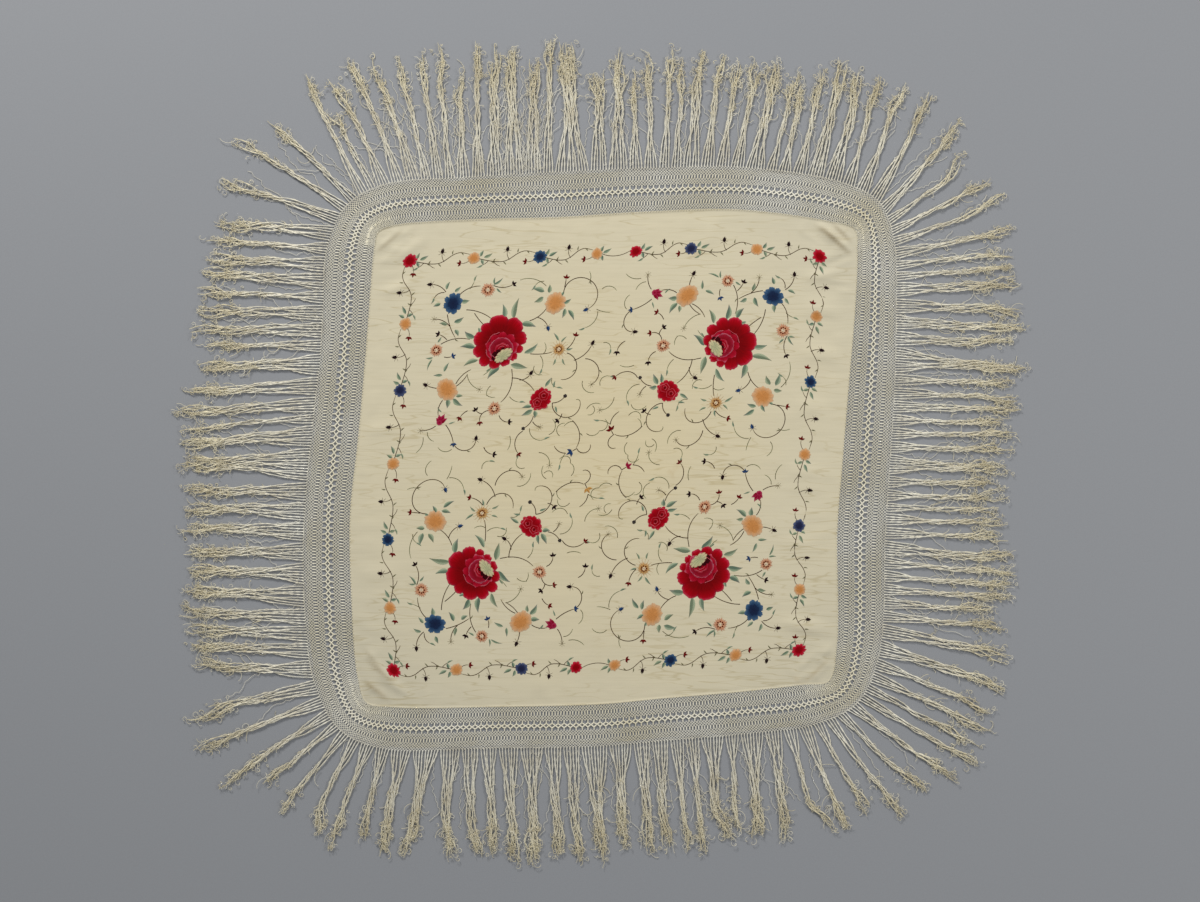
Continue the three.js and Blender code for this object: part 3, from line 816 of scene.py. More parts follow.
def curls(threads):  # frayed ends: small loops round the outer part of the threads, and loose hairs
    count = int(len(threads) * fringe["curlsPerThread"])
    pick = rng.integers(len(threads), size=count)
    kind = rng.uniform(0, 1, count)
    head, hair = kind < fringe["headShare"], kind > 1 - fringe["hairShare"]

    def sizes(low, high):  # drawn for every kind, then picked by the curl's own
        hairs, heads, others = (rng.uniform(getattr(each, low), getattr(each, high), count)
                                for each in curlKinds)
        return np.where(hair, hairs, np.where(head, heads, others))

    share = 1 - np.where(head, fringe["headLength"] * rng.uniform(0, 1, count) ** 1.2,
                         rng.uniform(0, fringe["curledLength"], count))
    place = share * (threads.shape[1] - 1) * 0.999
    low = place.astype(int)
    ahead = threads[pick, low + 1] - threads[pick, low]
    starts = threads[pick, low] + ahead * (place - low)[:, None]
    out = np.where(head, fringe["headWidth"], fringe["curledWidth"])
    starts[:, :2] += rng.normal(0, 1, (count, 2)) * out[:, None]
    heading = np.arctan2(ahead[:, 1], ahead[:, 0]) + rng.normal(0, 1, count) * np.where(head, 1.5, 0.6)
    loop = sizes("loopFrom", "loopTo")[:, None]
    turning = np.where(hair, rng.uniform(0.25, 0.7, count), rng.uniform(0.6, 1.1, count))  # at each step
    turning *= rng.choice([-1, 1], count)
    drift = sizes("driftFrom", "driftTo")[:, None]
    k = np.arange(fringe["curlSteps"])[None, :]
    angle = turning[:, None] * k + rng.uniform(0, fullTurn, (count, 1))
    x = drift * k * np.cos(heading)[:, None] + loop * (np.cos(angle) - np.cos(angle[:, :1]))
    y = drift * k * np.sin(heading)[:, None] + loop * (np.sin(angle) - np.sin(angle[:, :1]))
    z = starts[:, 2:] + 1.2 * np.sin(angle * 0.7) + rng.uniform(-1, 2.5, (count, 1))
    return np.stack([starts[:, :1] + x, starts[:, 1:2] + y, np.clip(z, 0.8, 9)], -1)


def loosePaths(side):  # single kinked threads that have come out of the tufts
    paths = []
    for group in looseThreads:
        if group.side != side:
            continue
        size = (group.count, loose["steps"])
        lengths = rng.uniform(group.first, group.last, group.count)
        roots = border(side, lengths, np.ones(group.count))
        _, out, _ = crossing(side, lengths)
        slow = np.cumsum(rng.normal(0, loose["bend"], size), 1)
        kinks = rng.uniform(-loose["kink"], loose["kink"], size)
        angles = np.arctan2(out[:, 1], out[:, 0])[:, None] + slow + kinks
        hop = (rng.uniform(loose["shortest"], loose["longest"], group.count) / loose["steps"])[:, None]
        path = np.stack([np.cumsum(np.cos(angles) * hop, 1), np.cumsum(np.sin(angles) * hop, 1),
                         np.tile(rng.uniform(1.2, 3.5, (group.count, 1)), loose["steps"])], -1)
        path[..., :2] += roots[:, None]
        paths.append(path)
    return np.concatenate(paths)


def fringes():
    material = threadMaterial(strandLook, strandColour, Roughness=0.6, Sheen_Weight=0.2,
                              Specular_IOR_Level=0.35)
    fromNet = net["fringeFrom"] - 0.01  # with the net's last row, so that its cords run on
    outer = [level for level in netLevels if level.share > fromNet]
    pieces = []
    for side, name in enumerate(sideNames):
        heading = netPart(side, outer)
        paths, ages = strandPaths(side)
        taper = np.interp(np.linspace(0, 1, fringe["steps"]), [0, 0.9, 1], [1, 0.85, 0.25])
        strands = tubes(paths, np.tile(fringe["thread"] * taper, (len(paths), 1)))
        strays = loosePaths(side)
        loosened = tubes(strays, np.full(strays.shape[:2], loose["thread"]))
        points, faces = joined([*heading, strands, loosened])
        age = np.concatenate([np.zeros(sum(len(knots) for knots, _ in heading)),
                              np.repeat(ages.ravel(), 3), np.full(len(loosened[0]), 0.2)])
        pieces.append(makePiece(f"fringe_strands_{name}", points, faces, material,
                                [f"fringe_{name}"], {"age": age}))
        frayed = curls(paths)
        points, faces = tubes(frayed, np.full(frayed.shape[:2], fringe["curlRadius"]))
        age = np.repeat(rng.uniform(0.55, 1, len(frayed)), frayed.shape[1] * 3)
        pieces.append(makePiece(f"fringe_curls_{name}", points, [faces], material,
                                attributes={"age": age}))
    return pieces


# Embroidery. Each kind of motif collects low stitched patches on the flat silk, and finishWork
# lays them out with the silk and makes one piece of them.
def newWork():
    return {"flat": [], "height": [], "tint": [], "uv": [], "faces": [], "count": 0}


def addPatch(work, flat, height, tint, uv, turns=(0,)):  # arrays of down x across points
    down, across = height.shape
    for quarter in turns:  # the pattern repeats in each quarter of the silk
        placed = flat
        for _ in range(quarter):
            placed = np.stack([placed[..., 1], -placed[..., 0]], -1)
        work["flat"].append(placed.reshape(-1, 2))
        work["height"].append(height.ravel())
        work["tint"].append(np.broadcast_to(tint, (down, across, 3)).reshape(-1, 3))
        work["uv"].append(uv.reshape(-1, 2) / 100)
        work["faces"].append(gridFaces(down, across, work["count"]))
        work["count"] += down * across


def finishWork(name, work, material):
    points = onSilk(np.concatenate(work["flat"]), np.concatenate(work["height"]))
    faces = np.concatenate(work["faces"])
    a, b, c, d = (points[faces[:, i]] for i in range(4))
    facing = np.cross(c - a, d - b)[:, 2]
    faces[facing < 0] = faces[facing < 0][:, ::-1]
    return makePiece(name, points, [faces], material,
                     attributes={"tint": np.concatenate(work["tint"])}, uv=np.concatenate(work["uv"]))


def blend(codes, places, at):  # colours between stops
    stops = np.array([linear(code) for code in codes])
    return np.stack([np.interp(at, places, stops[:, i]) for i in range(3)], -1)


everyQuarter = (0, 1, 2, 3)


def evenPetals(count, reach, first=0.0, unevenness=0.06):  # start and span in degrees, reach
    starts = first + 360 * (np.arange(count) + rng.uniform(-0.1, 0.1, count)) / count
    spans = np.diff(np.append(starts, starts[0] + 360))
    return [(a, span, reach * rng.uniform(1 - unevenness, 1 + unevenness)) for a, span in zip(starts, spans)]


def bloom(work, x, y, petals, colours, turns, stops=None, notch=0.22, squash=1.0, turn=0.0,
          lift=0.25, crown=0.7, ringCount=7, perPetal=6, groove=0.35, sharp=0.6, frayed=0.018):
    starts, spans, reach = np.array(sorted(petals), float).T
    phase = (np.arange(perPetal) / perPetal)[None, :]
    theta = (starts[:, None] + spans[:, None] * phase).ravel()
    lobe = np.tile(np.sin(math.pi * phase[0]) ** sharp, len(petals))
    own = np.repeat(reach, perPetal)
    before, after = np.repeat(np.roll(reach, 1), perPetal), np.repeat(np.roll(reach, -1), perPetal)
    half = np.tile(phase[0] < 0.5, len(petals))
    dip = (own + np.where(half, before, after)) / 2 * (1 - notch)
    rim = (dip + (own - dip) * lobe) * (1 + rng.normal(0, frayed, len(own)))
    theta = np.radians(np.append(theta, theta[0] + 360))
    rim, lobe = np.append(rim, rim[0]), np.append(lobe, lobe[0])
    share = np.linspace(0, 1, ringCount)[:, None]
    radius = share * rim[None, :]
    local = np.stack([radius * np.cos(theta), radius * np.sin(theta) * squash], -1)
    local = turned(local, turn)
    swell = np.sqrt(np.clip(1 - share ** 4, 0, 1))
    height = lift + crown * swell * (1 - groove * (1 - lobe[None, :]) * share)
    places = np.linspace(0, 1, len(colours)) if stops is None else stops
    tint = blend(colours, places, share + 0 * radius)
    tint = tint * (1 - groove * ((1 - lobe[None, :]) * share ** 2)[..., None])
    uv = np.stack([theta * reach.mean() + 0 * radius, radius], -1)
    addPatch(work, local + (x, y), height, tint, uv, turns)


def leaf(work, x, y, angle, length, width, turns, colours=None, bend=0.12, lift=0.2, crown=0.45, steps=8):
    dark, pale, tip = colours or leafTints[int(rng.integers(len(leafTints)))]
    along = np.linspace(0, 1, steps)[:, None]
    across = np.linspace(-1, 1, 5)[None, :]
    half = width / 2 * np.sin(math.pi * along ** 0.68) ** 1.15
    local = np.stack([along * length + 0 * across,
                      across * half + bend * length * np.sin(math.pi * along)], -1)
    local = turned(local, angle)
    height = lift + crown * (1 - across ** 2) * np.sin(math.pi * along) ** 0.5
    paleness = ease(-0.1, 0.6, across * (1 if bend >= 0 else -1))[..., None] + 0 * along[..., None]
    tint = linear(dark) * (1 - paleness) + linear(pale) * paleness
    far = ease(0.55, 1, along)[..., None] * (1 - 0.6 * paleness)
    tint = tint * (1 - far) + linear(tip) * far
    uv = np.stack([along * length - np.abs(across) * width / 2, across * width / 2 + 0 * along], -1)
    addPatch(work, local + (x, y), height, tint, uv, turns)


def line(work, path, width, colours, turns, lift=0.2, crown=0.45):  # a stem-stitched line
    ahead = np.gradient(path, axis=0)
    ahead /= np.maximum(np.linalg.norm(ahead, axis=1, keepdims=True), 1e-9)
    side = np.stack([-ahead[:, 1], ahead[:, 0]], -1)
    share = np.linspace(0, 1, len(path))
    half = width / 2 * np.interp(share, [0, 0.85, 1], [1, 0.9, 0.5])
    across = np.array([-1, 0, 1])
    flat = path[:, None] + side[:, None] * (half[:, None] * across)[..., None]
    height = lift + crown * (1 - np.abs(across)) + 0 * half[:, None]
    tint = blend(colours, np.linspace(0, 1, len(colours)), share)[:, None]
    at = lengthsAlong(path)
    uv = np.stack([at[:, None] + 0 * across, half[:, None] * across], -1)
    addPatch(work, flat, height, tint, uv, turns)


def arc(x0, y0, x1, y1, turn):  # from one place to the other, turning left by this many degrees
    chord = math.hypot(x1 - x0, y1 - y0)
    heading = math.atan2(y1 - y0, x1 - x0)
    total = math.radians(turn if abs(turn) > 1 else 1)
    radius = chord / (2 * math.sin(total / 2))
    count = max(4, int(abs(radius * total) / 6))
    at = heading - total / 2 + total * np.linspace(0, 1, count)
    path = np.stack([x0 + radius * (np.sin(at) - np.sin(at[0])),
                     y0 - radius * (np.cos(at) - np.cos(at[0]))], -1)
    return path, math.degrees(at[-1])


flossTints = {
    "rose": ["#720004", "#8A0006", "#AC0010", "#C20622", "#CE3E56"],
    "roseCup": ["#8C0014", "#A20018", "#B80C2A", "#C82E46", "#D8687E"],
    "roseHeart": ["#740014", "#940A1C", "#A61630", "#BA3A54", "#D07A90"],
    "roseLine": ["#D8707A", "#CC4C58"],
    "shadow": ["#2A0204", "#420208"],
    "pod": ["#BDBB8E", "#CFC898", "#D8CCA0", "#DDB58C"],
    "podLine": ["#848F70", "#A0A582"],
    "blue": ["#1A2440", "#1E3050", "#2A4668", "#50708E"],
    "violet": ["#222440", "#2A3050", "#3A4264", "#626C88"],
    "peach": ["#D68E4C", "#DC9656", "#E2A266", "#E6BC92"],
    "peony": ["#8C0008", "#A40010", "#C0041C", "#D03E54"],
    "peonyArc": ["#D8606A", "#C83848"],
    "peonyHeart": ["#5C0004", "#820008"],
    "daisy": ["#E6C69A", "#DDA074", "#D9936A", "#DEB090"],
    "gold": ["#E6CC94", "#DDAE68", "#D29A54", "#D8B484"],
    "dot": ["#6A1A0C", "#5A160C"],
    "dotLight": ["#F0DCBE", "#EACFA8"],
    "bud": ["#8E0626", "#AC143C", "#C04A6C"],
    "stem": ["#3A1C00", "#462800", "#583C08"],
    "paleStem": ["#564A1E", "#5C602E", "#747A48"],
}
leafTints = [("#667A66", "#A2B290", "#8E847E"), ("#6E8068", "#A8B694", "#948A84"),
             ("#74866E", "#AEBA9A", "#828A78"), ("#7A886C", "#B0BA98", "#89866E")]
budTints = {
    "dark": ("#1E0C10", "#2C1418", "#241014"),
    "red": ("#620808", "#84120E", "#6E0A0A"),
    "blue": ("#20365C", "#345684", "#28446C"),
    "pale": ("#7C7050", "#988A64", "#8A7E5A"),
    "pink": ("#920828", "#B22850", "#C0506C"),
    "gold": ("#C88C44", "#DCAE68", "#D8A460"),
    "twig": ("#76704E", "#84805E", "#8C8662"),
}


def petalBud(work, x, y, heading, tint, turns, size=1.0):  # three short petals
    for aside, length in ((-58, 10.5), (0, 11.5), (58, 10.5)):
        leaf(work, x, y, heading + aside, length * size, 5.4 * size, turns, tint,
             bend=0, lift=0.3, crown=0.6, steps=5)


def rays(work, x, y, heading, tint, turns, count=5, reach=8.0, spread=200.0):
    for angle in heading + np.linspace(-spread / 2, spread / 2, count):
        line(work, np.linspace((x, y), (x, y) + reach * toward(angle), 3), 0.9, tint, turns,
             lift=0.15, crown=0.3)


def stemTip(work, kind, x, y, heading, turns):  # kind: a colour with its number of petals, or a form
    if kind == "turned":  # its colour changes with the quarter
        for turn, tint in zip(turns, ("blue", "red", "pink", "gold")):
            petalBud(work, x, y, heading, budTints[tint], (turn,), size=1.35)
    elif kind in ("dark3", "red3", "blue3"):
        petalBud(work, x, y, heading, budTints[kind[:-1]], turns)
    elif kind in ("dark1", "blue1"):
        rays(work, x, y, heading, ["#4A3020", "#6A5438"], turns, count=6, reach=11, spread=250)
        base = (x, y) - 2 * toward(heading)
        leaf(work, *base, heading, 15, 9, turns, budTints[kind[:-1]], bend=0, lift=0.35, crown=0.8,
             steps=6)
    elif kind == "round":
        bloom(work, x, y, evenPetals(6, 5.2), ["#4A4038", "#2E2A2E"], turns, ringCount=3, perPetal=3,
              lift=0.3, crown=0.7)
    elif kind == "star":
        rays(work, x, y, heading, budTints["pale"], turns, count=7, reach=9, spread=300)
    elif kind == "leaf":
        leaf(work, x, y, heading, 17, 4.6, turns, bend=0.1)


# One quarter of the pattern, the upper left one, as it lies. A stem turns left by `turn` on its
# way to its tip. `straightened` takes out the slant that this quarter lies with.
quarterLie = {"slant": [[0.986, -0.09], [-0.01, 0.95]], "shift": (26.6, 9.8)}


def straightened(places):
    return np.asarray(places, float) @ np.transpose(quarterLie["slant"]) + quarterLie["shift"]


stems = rows("x0 y0 x1 y1 turn tip pale", [
    (-371, 405, -303, 377, -40), (-350, 395, -322, 358, 15), (-423, 455, -460, 477, 60, "dark1"),
    (-427, 454, -454, 440, 70, "leaf"), (-390, 444, -332, 469, -50),
    (-360, 462, -348, 482, 20, "leaf", 1), (-298, 470, -247, 472, 60, "dark3"),
    (-206, 373, -160, 408, 40), (-185, 382, -159, 356, -60, "blue1"),
    (-160, 467, -228, 484, 70, None, 1), (-165, 480, -188, 470, 60, "leaf", 1),
    (-115, 448, -54, 400, -240, "blue1"), (-112, 462, -107, 486, 8, "red3"),
    (-48, 470, -45, 502, 60, None, 1), (-30, 398, 4, 388, 30, None, 1),
    (-27, 392, -62, 349, -75, "leaf", 1), (-440, 313, -364, 324, -50),
    (-424, 325, -444, 340, 30, "dark3"), (-421, 394, -402, 330, 25), (-416, 362, -457, 382, 60, "star"),
    (-432, 278, -411, 279, 40, "blue3"), (-402, 204, -362, 242, -40), (-404, 196, -372, 228, 30),
    (-372, 230, -340, 187, 70, "star", 1), (-452, 193, -478, 201, -20, "dark1"),
    (-437, 160, -449, 118, 50), (-456, 90, -496, 78, -40, "star"), (-478, 74, -461, 48, 80, None, 1),
    (-430, 93, -410, 42, -30, "blue3"), (-408, 38, -351, 50, 150, "dark1"),
    (-414, 26, -450, 32, -110, None, 1), (-489, 60, -507, 18, -60, None, 1), (-255, 242, -253, 216, 0),
    (-253, 218, -197, 182, -60), (-235, 212, -207, 227, 60, "dark1"), (-254, 220, -285, 152, -50),
    (-262, 167, -237, 152, 50, "leaf", 1), (-318, 130, -341, 99, 90, "red3"),
    (-334, 121, -350, 130, -50, "dark3"), (-290, 116, -266, 98, 80, "dark3"),
    (-311, 197, -322, 170, 60, None, 1), (-322, 172, -300, 166, 60, None, 1),
    (-200, 113, -227, 80, -50, "round"), (-202, 98, -183, 83, 50, "star"),
    (-210, 80, -173, 49, 120, "leaf", 1), (-228, 73, -240, 12, 100, "red3"),
    (-150, 148, -116, 166, 60, "round"), (-150, 148, -77, 150, 195), (-77, 150, -88, 155, 90, None, 1),
    (-125, 118, -135, 101, -40, "dark3"), (-98, 98, -88, 24, -80), (-95, 96, -120, 84, 60, None, 1),
    (-86, 22, -100, 14, 0, "turned"), (-86, 20, -51, 31, 170), (-116, 10, -146, 31, -70),
    (-116, 10, -131, -20, 30, "leaf", 1), (-206, 283, -150, 286, 20),
    (-180, 278, -176, 242, -60, "leaf", 1), (-172, 282, -168, 313, 80, None, 1),
    (-110, 294, -87, 328, 40, "red3"), (-110, 283, -127, 211, -170), (-92, 262, -44, 303, 50, "dark1"),
    (-62, 265, -47, 194, -150, "star"), (-14, 306, 5, 289, -120, "leaf", 1),
    (-14, 452, 24, 446, -110, None, 1), (-300, 258, -330, 226, -30, None, 1),
    (-61, 61, -27, 67, 110, None, 1), (-186, 14, -158, -22, -100, "star", 1),
    (-60, 128, -24, 140, -90, None, 1), (-150, 215, -138, 190, 100, "leaf", 1),
    (-27, 67, -12, 98, 150, None, 1), (-132, 58, -118, 92, -150, None, 1),
    (-160, 62, -150, 104, 120, None, 1), (-44, 136, -58, 112, -160, None, 1),
    (-196, 250, -176, 226, 140, None, 1), (-24, 190, 2, 214, -130, "leaf", 1),
    (-70, 205, -40, 172, 120, None, 1), (-262, 60, -268, 22, -50, None, 1),
    (-330, 30, -306, 10, 70, "dark3"), (-372, 130, -392, 112, 40, "red3"),
], (None, 0))
leaves = rows("x y angle length width", [
    (-272, 380, 100, 38, 13), (-249, 378, 78, 56, 14), (-228, 366, -14, 40, 15),
    (-222, 285, 37, 42, 12), (-258, 254, -12, 46, 15), (-287, 247, -134, 42, 14),
    (-343, 268, -157, 40, 12), (-350, 302, 176, 40, 14), (-352, 328, 145, 32, 14),
    (-384, 428, 5, 22, 11), (-438, 424, 200, 20, 9), (-422, 462, 66, 22, 8), (-400, 455, 40, 20, 8),
    (-422, 366, 168, 22, 10), (-404, 372, 28, 27, 11), (-402, 352, -62, 20, 10),
    (-298, 472, 37, 30, 6), (-296, 474, 85, 18, 5), (-290, 462, -40, 18, 5),
    (-165, 452, 166, 33, 13), (-168, 437, 208, 27, 12), (-153, 448, 88, 22, 11),
    (-114, 450, 250, 18, 7), (-116, 418, 30, 22, 9), (-112, 404, 255, 25, 10), (-104, 400, -60, 32, 10),
    (-433, 238, 64, 26, 8), (-437, 229, 180, 24, 7), (-423, 163, 268, 24, 12),
    (-410, 164, -36, 33, 12), (-402, 170, 0, 18, 9),
    (-204, 140, 188, 26, 9), (-202, 130, 206, 31, 12), (-196, 128, 272, 20, 11),
    (-168, 193, 57, 28, 8), (-146, 190, 80, 18, 6), (-142, 138, -70, 18, 6),
    (-125, 313, 45, 20, 5), (-131, 317, 126, 26, 6), (-140, 268, 250, 18, 5), (-122, 268, -62, 20, 5),
    (-112, 292, 12, 18, 5), (-461, 277, 180, 20, 5), (-463, 273, 250, 32, 5), (-448, 318, 60, 18, 5),
    (-422, 95, 18, 18, 4), (-440, 128, 130, 18, 4), (-322, 236, 40, 16, 5), (-340, 356, -84, 24, 7),
])
rose = {"middle": (-286, 317), "pod": (12.5, -36), "podShade": (7, -31), "podRoot": (-4, -48)}
rosePetals = [  # start, span and reach, going round
    (72, 50, 69), (25, 47, 73), (-10, 35, 70), (-33, 23, 66), (-57, 24, 65), (-84, 27, 67),
    (-112, 28, 71), (-140, 28, 74), (-171, 31, 71), (-210, 39, 68), (-238, 28, 65),
]
roseCups = rows("x y reach petals tint", [
    (5, -13, 44, 8, "roseCup"), (5, -19, 32.5, 7, "roseHeart"), (8, -23, 21.5, 6, "roseCup"),
])
roseArcs = rows("x y reach start sweep", [
    (5, -14, 38.5, 100, 70), (4, -15, 38, 188, 46), (5, -18, 27.5, 40, 62), (4, -18, 27, 128, 66),
    (5, -19, 27, 205, 40), (8, -23, 16.5, 40, 110), (9, -24, 12, 70, 90),
])
podLines = rows("angle reach", [(6, 30), (17, 36), (28, 39), (39, 37), (50, 30), (62, 22), (76, 15)])


def petalEdges(work, x, y, arcs, wave, waves, tint, turns, lift):  # pale lines inside a flower
    for each in arcs:
        angles = np.radians(np.linspace(each.start, each.start + each.sweep, 18))
        reach = each.reach * (1 + wave * np.sin(waves * angles))
        path = np.stack([x + each.x + reach * np.cos(angles), y + each.y + reach * np.sin(angles)], -1)
        line(work, path, 1.3, flossTints[tint], turns, lift, crown=0.4)


def roses(turns=everyQuarter):
    work = newWork()
    x, y = middle = straightened(rose["middle"])
    bloom(work, x, y, rosePetals, flossTints["rose"], turns, [0, 0.62, 0.82, 0.95, 1], notch=0.15,
          lift=0.3, crown=1.1, ringCount=12, perPetal=9, groove=0.45, sharp=0.5, frayed=0.012)
    for level, cup in enumerate(roseCups):
        petals = evenPetals(cup.petals, cup.reach, first=17 * level, unevenness=0.04)
        bloom(work, x + cup.x, y + cup.y, petals, flossTints[cup.tint], turns, [0, 0.6, 0.86, 0.96, 1],
              notch=0.07, squash=0.97, turn=20, lift=0.9 + 0.5 * level, crown=0.8, ringCount=9,
              perPetal=9, groove=0.3, sharp=0.8, frayed=0.012)
    petalEdges(work, x, y, roseArcs, 0.025, 9, "roseLine", turns, 2.7)
    bloom(work, *(middle + rose["podShade"]), evenPetals(9, 26), flossTints["shadow"], turns,
          notch=0.06, squash=0.64, turn=33, lift=2.3, crown=0.5, ringCount=5, perPetal=5)
    bloom(work, *(middle + rose["pod"]), evenPetals(11, 25, unevenness=0.1), flossTints["pod"], turns,
          [0, 0.6, 0.88, 1], notch=0.16, squash=0.56, turn=32, lift=2.8, crown=0.7, ringCount=6,
          perPetal=6, groove=0.2)
    root = middle + rose["podRoot"]
    for each in podLines:
        tip = root + each.reach * toward(each.angle)
        line(work, np.linspace(root + 0.3 * (tip - root), tip, 4), 0.9, flossTints["podLine"], turns,
             lift=3.4, crown=0.3)
    return work


def fullFlower(work, x, y, reach, tint, turns, petals, squash, turn):  # peach ones have soft petals
    soft = tint == "peach"
    bloom(work, x, y, evenPetals(petals, reach, unevenness=0.09), flossTints[tint], turns,
          notch=0.1 if soft else 0.2, squash=squash, turn=turn, lift=0.35, crown=0.8, ringCount=8,
          perPetal=7, groove=0.16 if soft else 0.34, sharp=0.9 if soft else 0.6,
          frayed=0.03 if soft else 0.045)
    bloom(work, x, y, evenPetals(petals - 2, reach * 0.6, first=15), flossTints[tint][:2], turns,
          notch=0.1 if soft else 0.16, squash=squash, turn=turn, lift=0.95, crown=0.5, ringCount=4,
          perPetal=5, groove=0.12 if soft else 0.3, frayed=0.04)


peonyArcs = rows("x y reach start sweep", [
    (7, 9, 12, 0, 360), (7, 9, 5.5, 40, 300), (-9, -8, 11, 60, 340), (-9, -8, 5, 0, 300),
    (2, -2, 23, 200, 120), (0, 2, 24, 20, 90),
])
peonyHearts = [(7, 9), (-9, -8)]  # dark, in the middle of its two curls


def peony(work, x, y, turns):
    bloom(work, x, y, evenPetals(12, 32), flossTints["peony"], turns, [0, 0.6, 0.9, 1], notch=0.13,
          squash=0.82, turn=52, lift=0.35, crown=0.9, ringCount=8, perPetal=7, groove=0.4)
    petalEdges(work, x, y, peonyArcs, 0.1, 5, "peonyArc", turns, 1.2)
    for right, up in peonyHearts:
        bloom(work, x + right, y + up, evenPetals(5, 3.4), flossTints["peonyHeart"], turns,
              lift=1.3, crown=0.3, ringCount=3, perPetal=3)


def dots(work, x, y, reach, count, size, tint, turns, lift):
    for angle in 360 * (np.arange(count) + rng.uniform(-0.15, 0.15, count)) / count:
        bloom(work, *((x, y) + reach * toward(angle)), [(0, 120, size), (120, 120, size), (240, 120, size)],
              flossTints[tint], turns, notch=0, lift=lift, crown=0.4, ringCount=2, perPetal=2, groove=0)


def daisy(work, x, y, turns, reach=18.0, tint="daisy"):
    bloom(work, x, y, evenPetals(19, reach, unevenness=0.12), flossTints[tint], turns, [0, 0.35, 0.7, 1],
          notch=0.3, lift=0.3, crown=0.7, ringCount=5, perPetal=4, groove=0.25, sharp=1)
    bloom(work, x, y, evenPetals(8, reach * 0.4), flossTints["dotLight"], turns, notch=0.3,
          lift=0.75, crown=0.4, ringCount=3, perPetal=3, groove=0.1)
    dots(work, x, y, reach * 0.13, 2, 1.1, "dot", turns, 1.2)
    dots(work, x, y, reach * 0.43, 8, 2.3, "dot", turns, 1.1)


def pinkBud(work, x, y, turns):  # x and y: of its base, where its petals meet
    for angle, length, width in ((28, 22, 12), (62, 25, 13), (96, 21, 12), (128, 16, 9)):
        leaf(work, x, y, angle, length, width, turns, budTints["pink"], bend=0, lift=0.35, crown=0.8)
    bloom(work, x, y, evenPetals(5, 8), flossTints["bud"], turns, notch=0.1, lift=0.6, crown=0.6,
          ringCount=4, perPetal=4)


quarterBlooms = rows("x y reach kind petals squash turn", [
    (-405, 423, 28, "blue", 8, 0.88, 80),
    (-138, 420, 30, "peach", 9, 0.88, 80),
    (-426, 190, 31, "peach", 9, 0.84, 120),
])
daisies = rows("x y reach tint", [
    (-313, 458, 18, "daisy"), (-452, 297, 17, "daisy"), (-302, 135, 18, "daisy"), (-131, 294, 16, "gold"),
])
quarterWork = {
    "peony": (-180, 159),
    "pinkBud": (-439, 108),
    "stem": 2.0,  # widths of its stitched lines
    "paleStem": 1.5,
    "twigFrom": 12,  # points; a stem longer than this carries a fine twig half way
    "twigTurn": 38,
}


def quarterFlowers(turns=everyQuarter):
    work = newWork()
    for each in quarterBlooms:
        fullFlower(work, *straightened(each[:2]), each.reach, each.kind, turns, each.petals,
                   each.squash, each.turn)
    peony(work, *straightened(quarterWork["peony"]), turns)
    rays(work, *straightened(daisies[-1][:2]), 90, ["#C08A4C", "#CFA066"], turns, count=17, reach=25,
         spread=339)
    for each in daisies:
        daisy(work, *straightened(each[:2]), turns, each.reach, each.tint)
    pinkBud(work, *(straightened(quarterWork["pinkBud"]) - (6, 8)), turns)
    return work


def vinesAndLeaves(turns=everyQuarter):
    work = newWork()
    for stem in stems:
        path, heading = arc(stem.x0, stem.y0, stem.x1, stem.y1, stem.turn)
        path = straightened(path)
        kind = "paleStem" if stem.pale else "stem"
        line(work, path, quarterWork[kind], flossTints[kind], turns)
        if stem.tip:
            stemTip(work, stem.tip, *path[-1], heading, turns)
        if len(path) > quarterWork["twigFrom"]:
            middle = len(path) // 2
            ahead = path[middle + 1] - path[middle]
            side = rng.choice([-1, 1])
            angle = math.degrees(math.atan2(ahead[1], ahead[0])) + quarterWork["twigTurn"] * side
            leaf(work, *path[middle], angle, 12, 2.8, turns, budTints["twig"], bend=0.1 * side)
    for each in leaves:
        leaf(work, *straightened(each[:2]), each.angle, each.length, each.width, turns,
             bend=rng.uniform(-0.12, 0.12))
    return work


# The garland round the edge: its flowers from the upper left corner to the right, and the vine,
# buds and leaves between two flowers, as shares of their distance and millimetres aside.
garland = {
    "out": 531,  # from the middle of the silk
    "vine": 1.8,  # widths of its stitched lines
    "budStem": 1.4,
    "shortStem": 1.6,
    "close": 110,  # flowers nearer to each other than this have only a short stem between them
    "leafSpan": 165,  # the leaves beside a flower lie as if the next were no farther than this
}
longSide = rows("along kind reach", [
    (-531, "peony", 19.5), (-365, "peach", 16.5), (-194, "blue", 17), (-47, "peach", 15.5),
    (54, "peony", 16.5), (197, "violet", 17), (367, "peach", 16.5),
])
shortSide = rows("along kind reach", [
    (-531, "peony", 19.5), (-369, "peach", 16.5), (-192, "blue", 17), (4, "peach", 16.5),
    (196, "violet", 17), (368, "peach", 16.5),
])
vine = rows("along aside", [(0.07, -1), (0.22, -8), (0.4, -12), (0.52, -8), (0.62, 6), (0.72, 16),
                            (0.83, 17), (0.93, 9)])
vineBuds = rows("x0 y0 x1 y1 turn tip", [
    (0.54, -6, 0.5, 17, -50, "dark1"), (0.93, -6, 0.8, -12, -50, "red3"),
    (0.3, -10, 0.4, -22, 40, None), (0.22, -8, 0.14, -18, -30, "leaf"),
])
vineLeaves = rows("along aside angle length width", [
    (0.1, 4, 62, 18, 8), (0.12, -4, -72, 16, 8), (0.16, 1, 26, 24, 8),
])
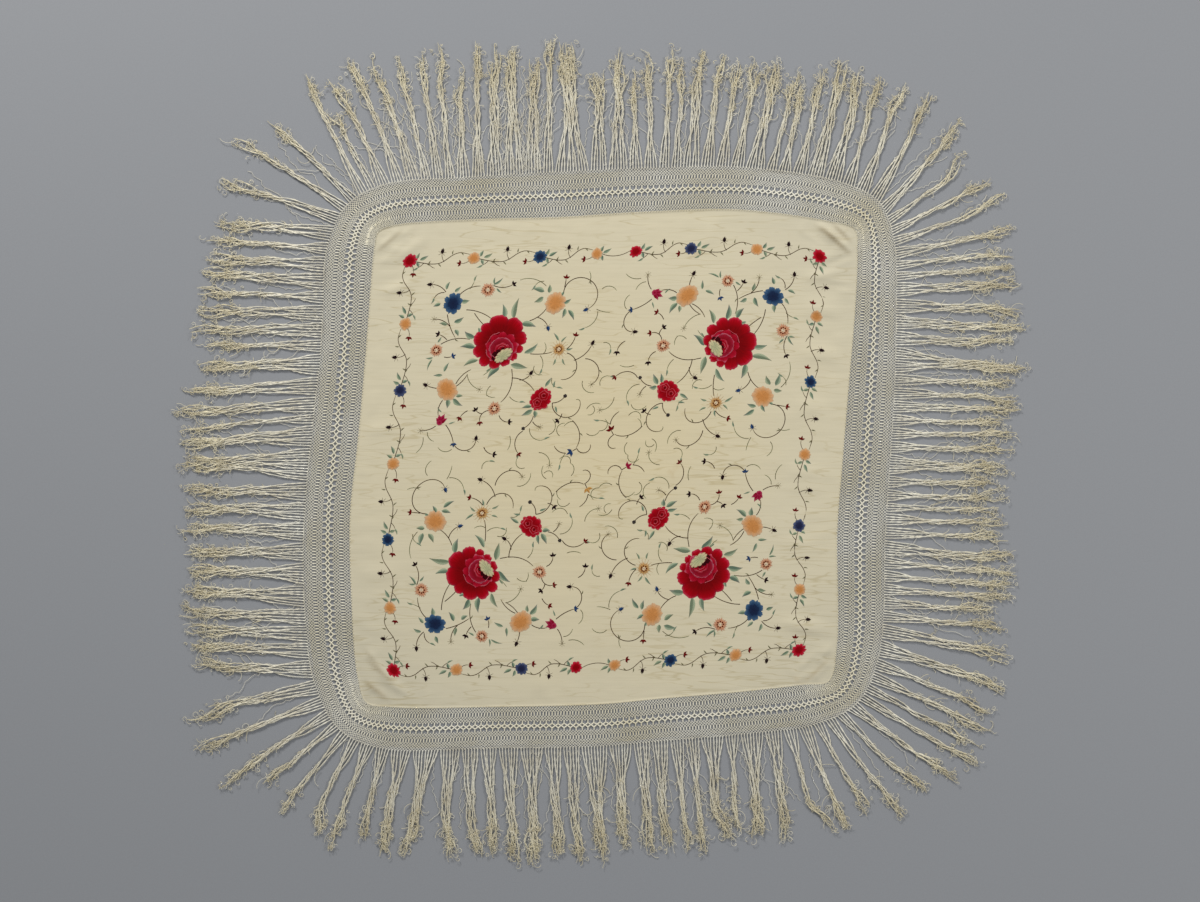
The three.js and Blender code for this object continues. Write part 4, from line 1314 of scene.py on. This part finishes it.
vineTwigs = rows("along aside angle length width", [
    (0.66, 12, 78, 12, 3), (0.45, -11, -48, 12, 3), (0.3, -10, 58, 10, 3), (0.27, -9, -40, 9, 3),
    (0.8, 16, -50, 10, 3),
])


def vineBetween(work, x, y, span, turns):  # from a flower to the next, with its buds and twigs
    at, aside = column(vine, "along") * span + x, column(vine, "aside") + y
    t = np.linspace(at[0], at[-1], 26)
    smooth = np.convolve(np.pad(np.interp(t, at, aside), 2, "edge"), np.ones(5) / 5, "valid")
    line(work, np.stack([t, smooth], -1), garland["vine"], flossTints["stem"], turns)
    for bud in vineBuds:
        path, heading = arc(x + bud.x0 * span, y + bud.y0, x + bud.x1 * span, y + bud.y1, bud.turn)
        line(work, path, garland["budStem"], flossTints["stem"], turns)
        if bud.tip:
            stemTip(work, bud.tip, *path[-1], heading, turns)
    for each in vineTwigs:
        leaf(work, x + each.along * span, y + each.aside, each.angle, each.length, each.width, turns,
             budTints["twig"], bend=0.06)


def garlandWork():
    work = newWork()
    y = garland["out"]
    for side in range(4):
        flowers = longSide if side % 2 == 0 else shortSide
        ends = [flower.along for flower in flowers[1:]] + [y]
        for flower, end in zip(flowers, ends):
            x, span = flower.along, end - flower.along
            if span < garland["close"]:
                path, _ = arc(x + 12, y, end - 12, y + 4, 60)
                line(work, path, garland["shortStem"], flossTints["stem"], (side,))
            else:
                vineBetween(work, x, y, span, (side,))
            for each in vineLeaves:
                leaf(work, x + each.along * min(span, garland["leafSpan"]), y + each.aside, each.angle,
                     each.length, each.width, (side,), bend=rng.uniform(-0.1, 0.1))
            squash = 0.9 if flower.kind == "peony" else 0.95
            fullFlower(work, x, y, flower.reach, flower.kind, (side,), 9, squash, 30)
    return work


setUpView()
setUpLights()
layFloor()
print("view, lights and floor are set")
silk = silkCloth()
nets = knottedNets()
print("net is knotted")
fringePieces = fringes()
print("fringe is laid")
floss = flossMaterial()
embroidery = [
    finishWork("embroidered_vines", vinesAndLeaves(), floss),
    finishWork("embroidered_flowers", quarterFlowers(), floss),
    finishWork("embroidered_roses", roses(), floss),
    finishWork("embroidered_garland", garlandWork(), floss),
]
print("embroidery is stitched")
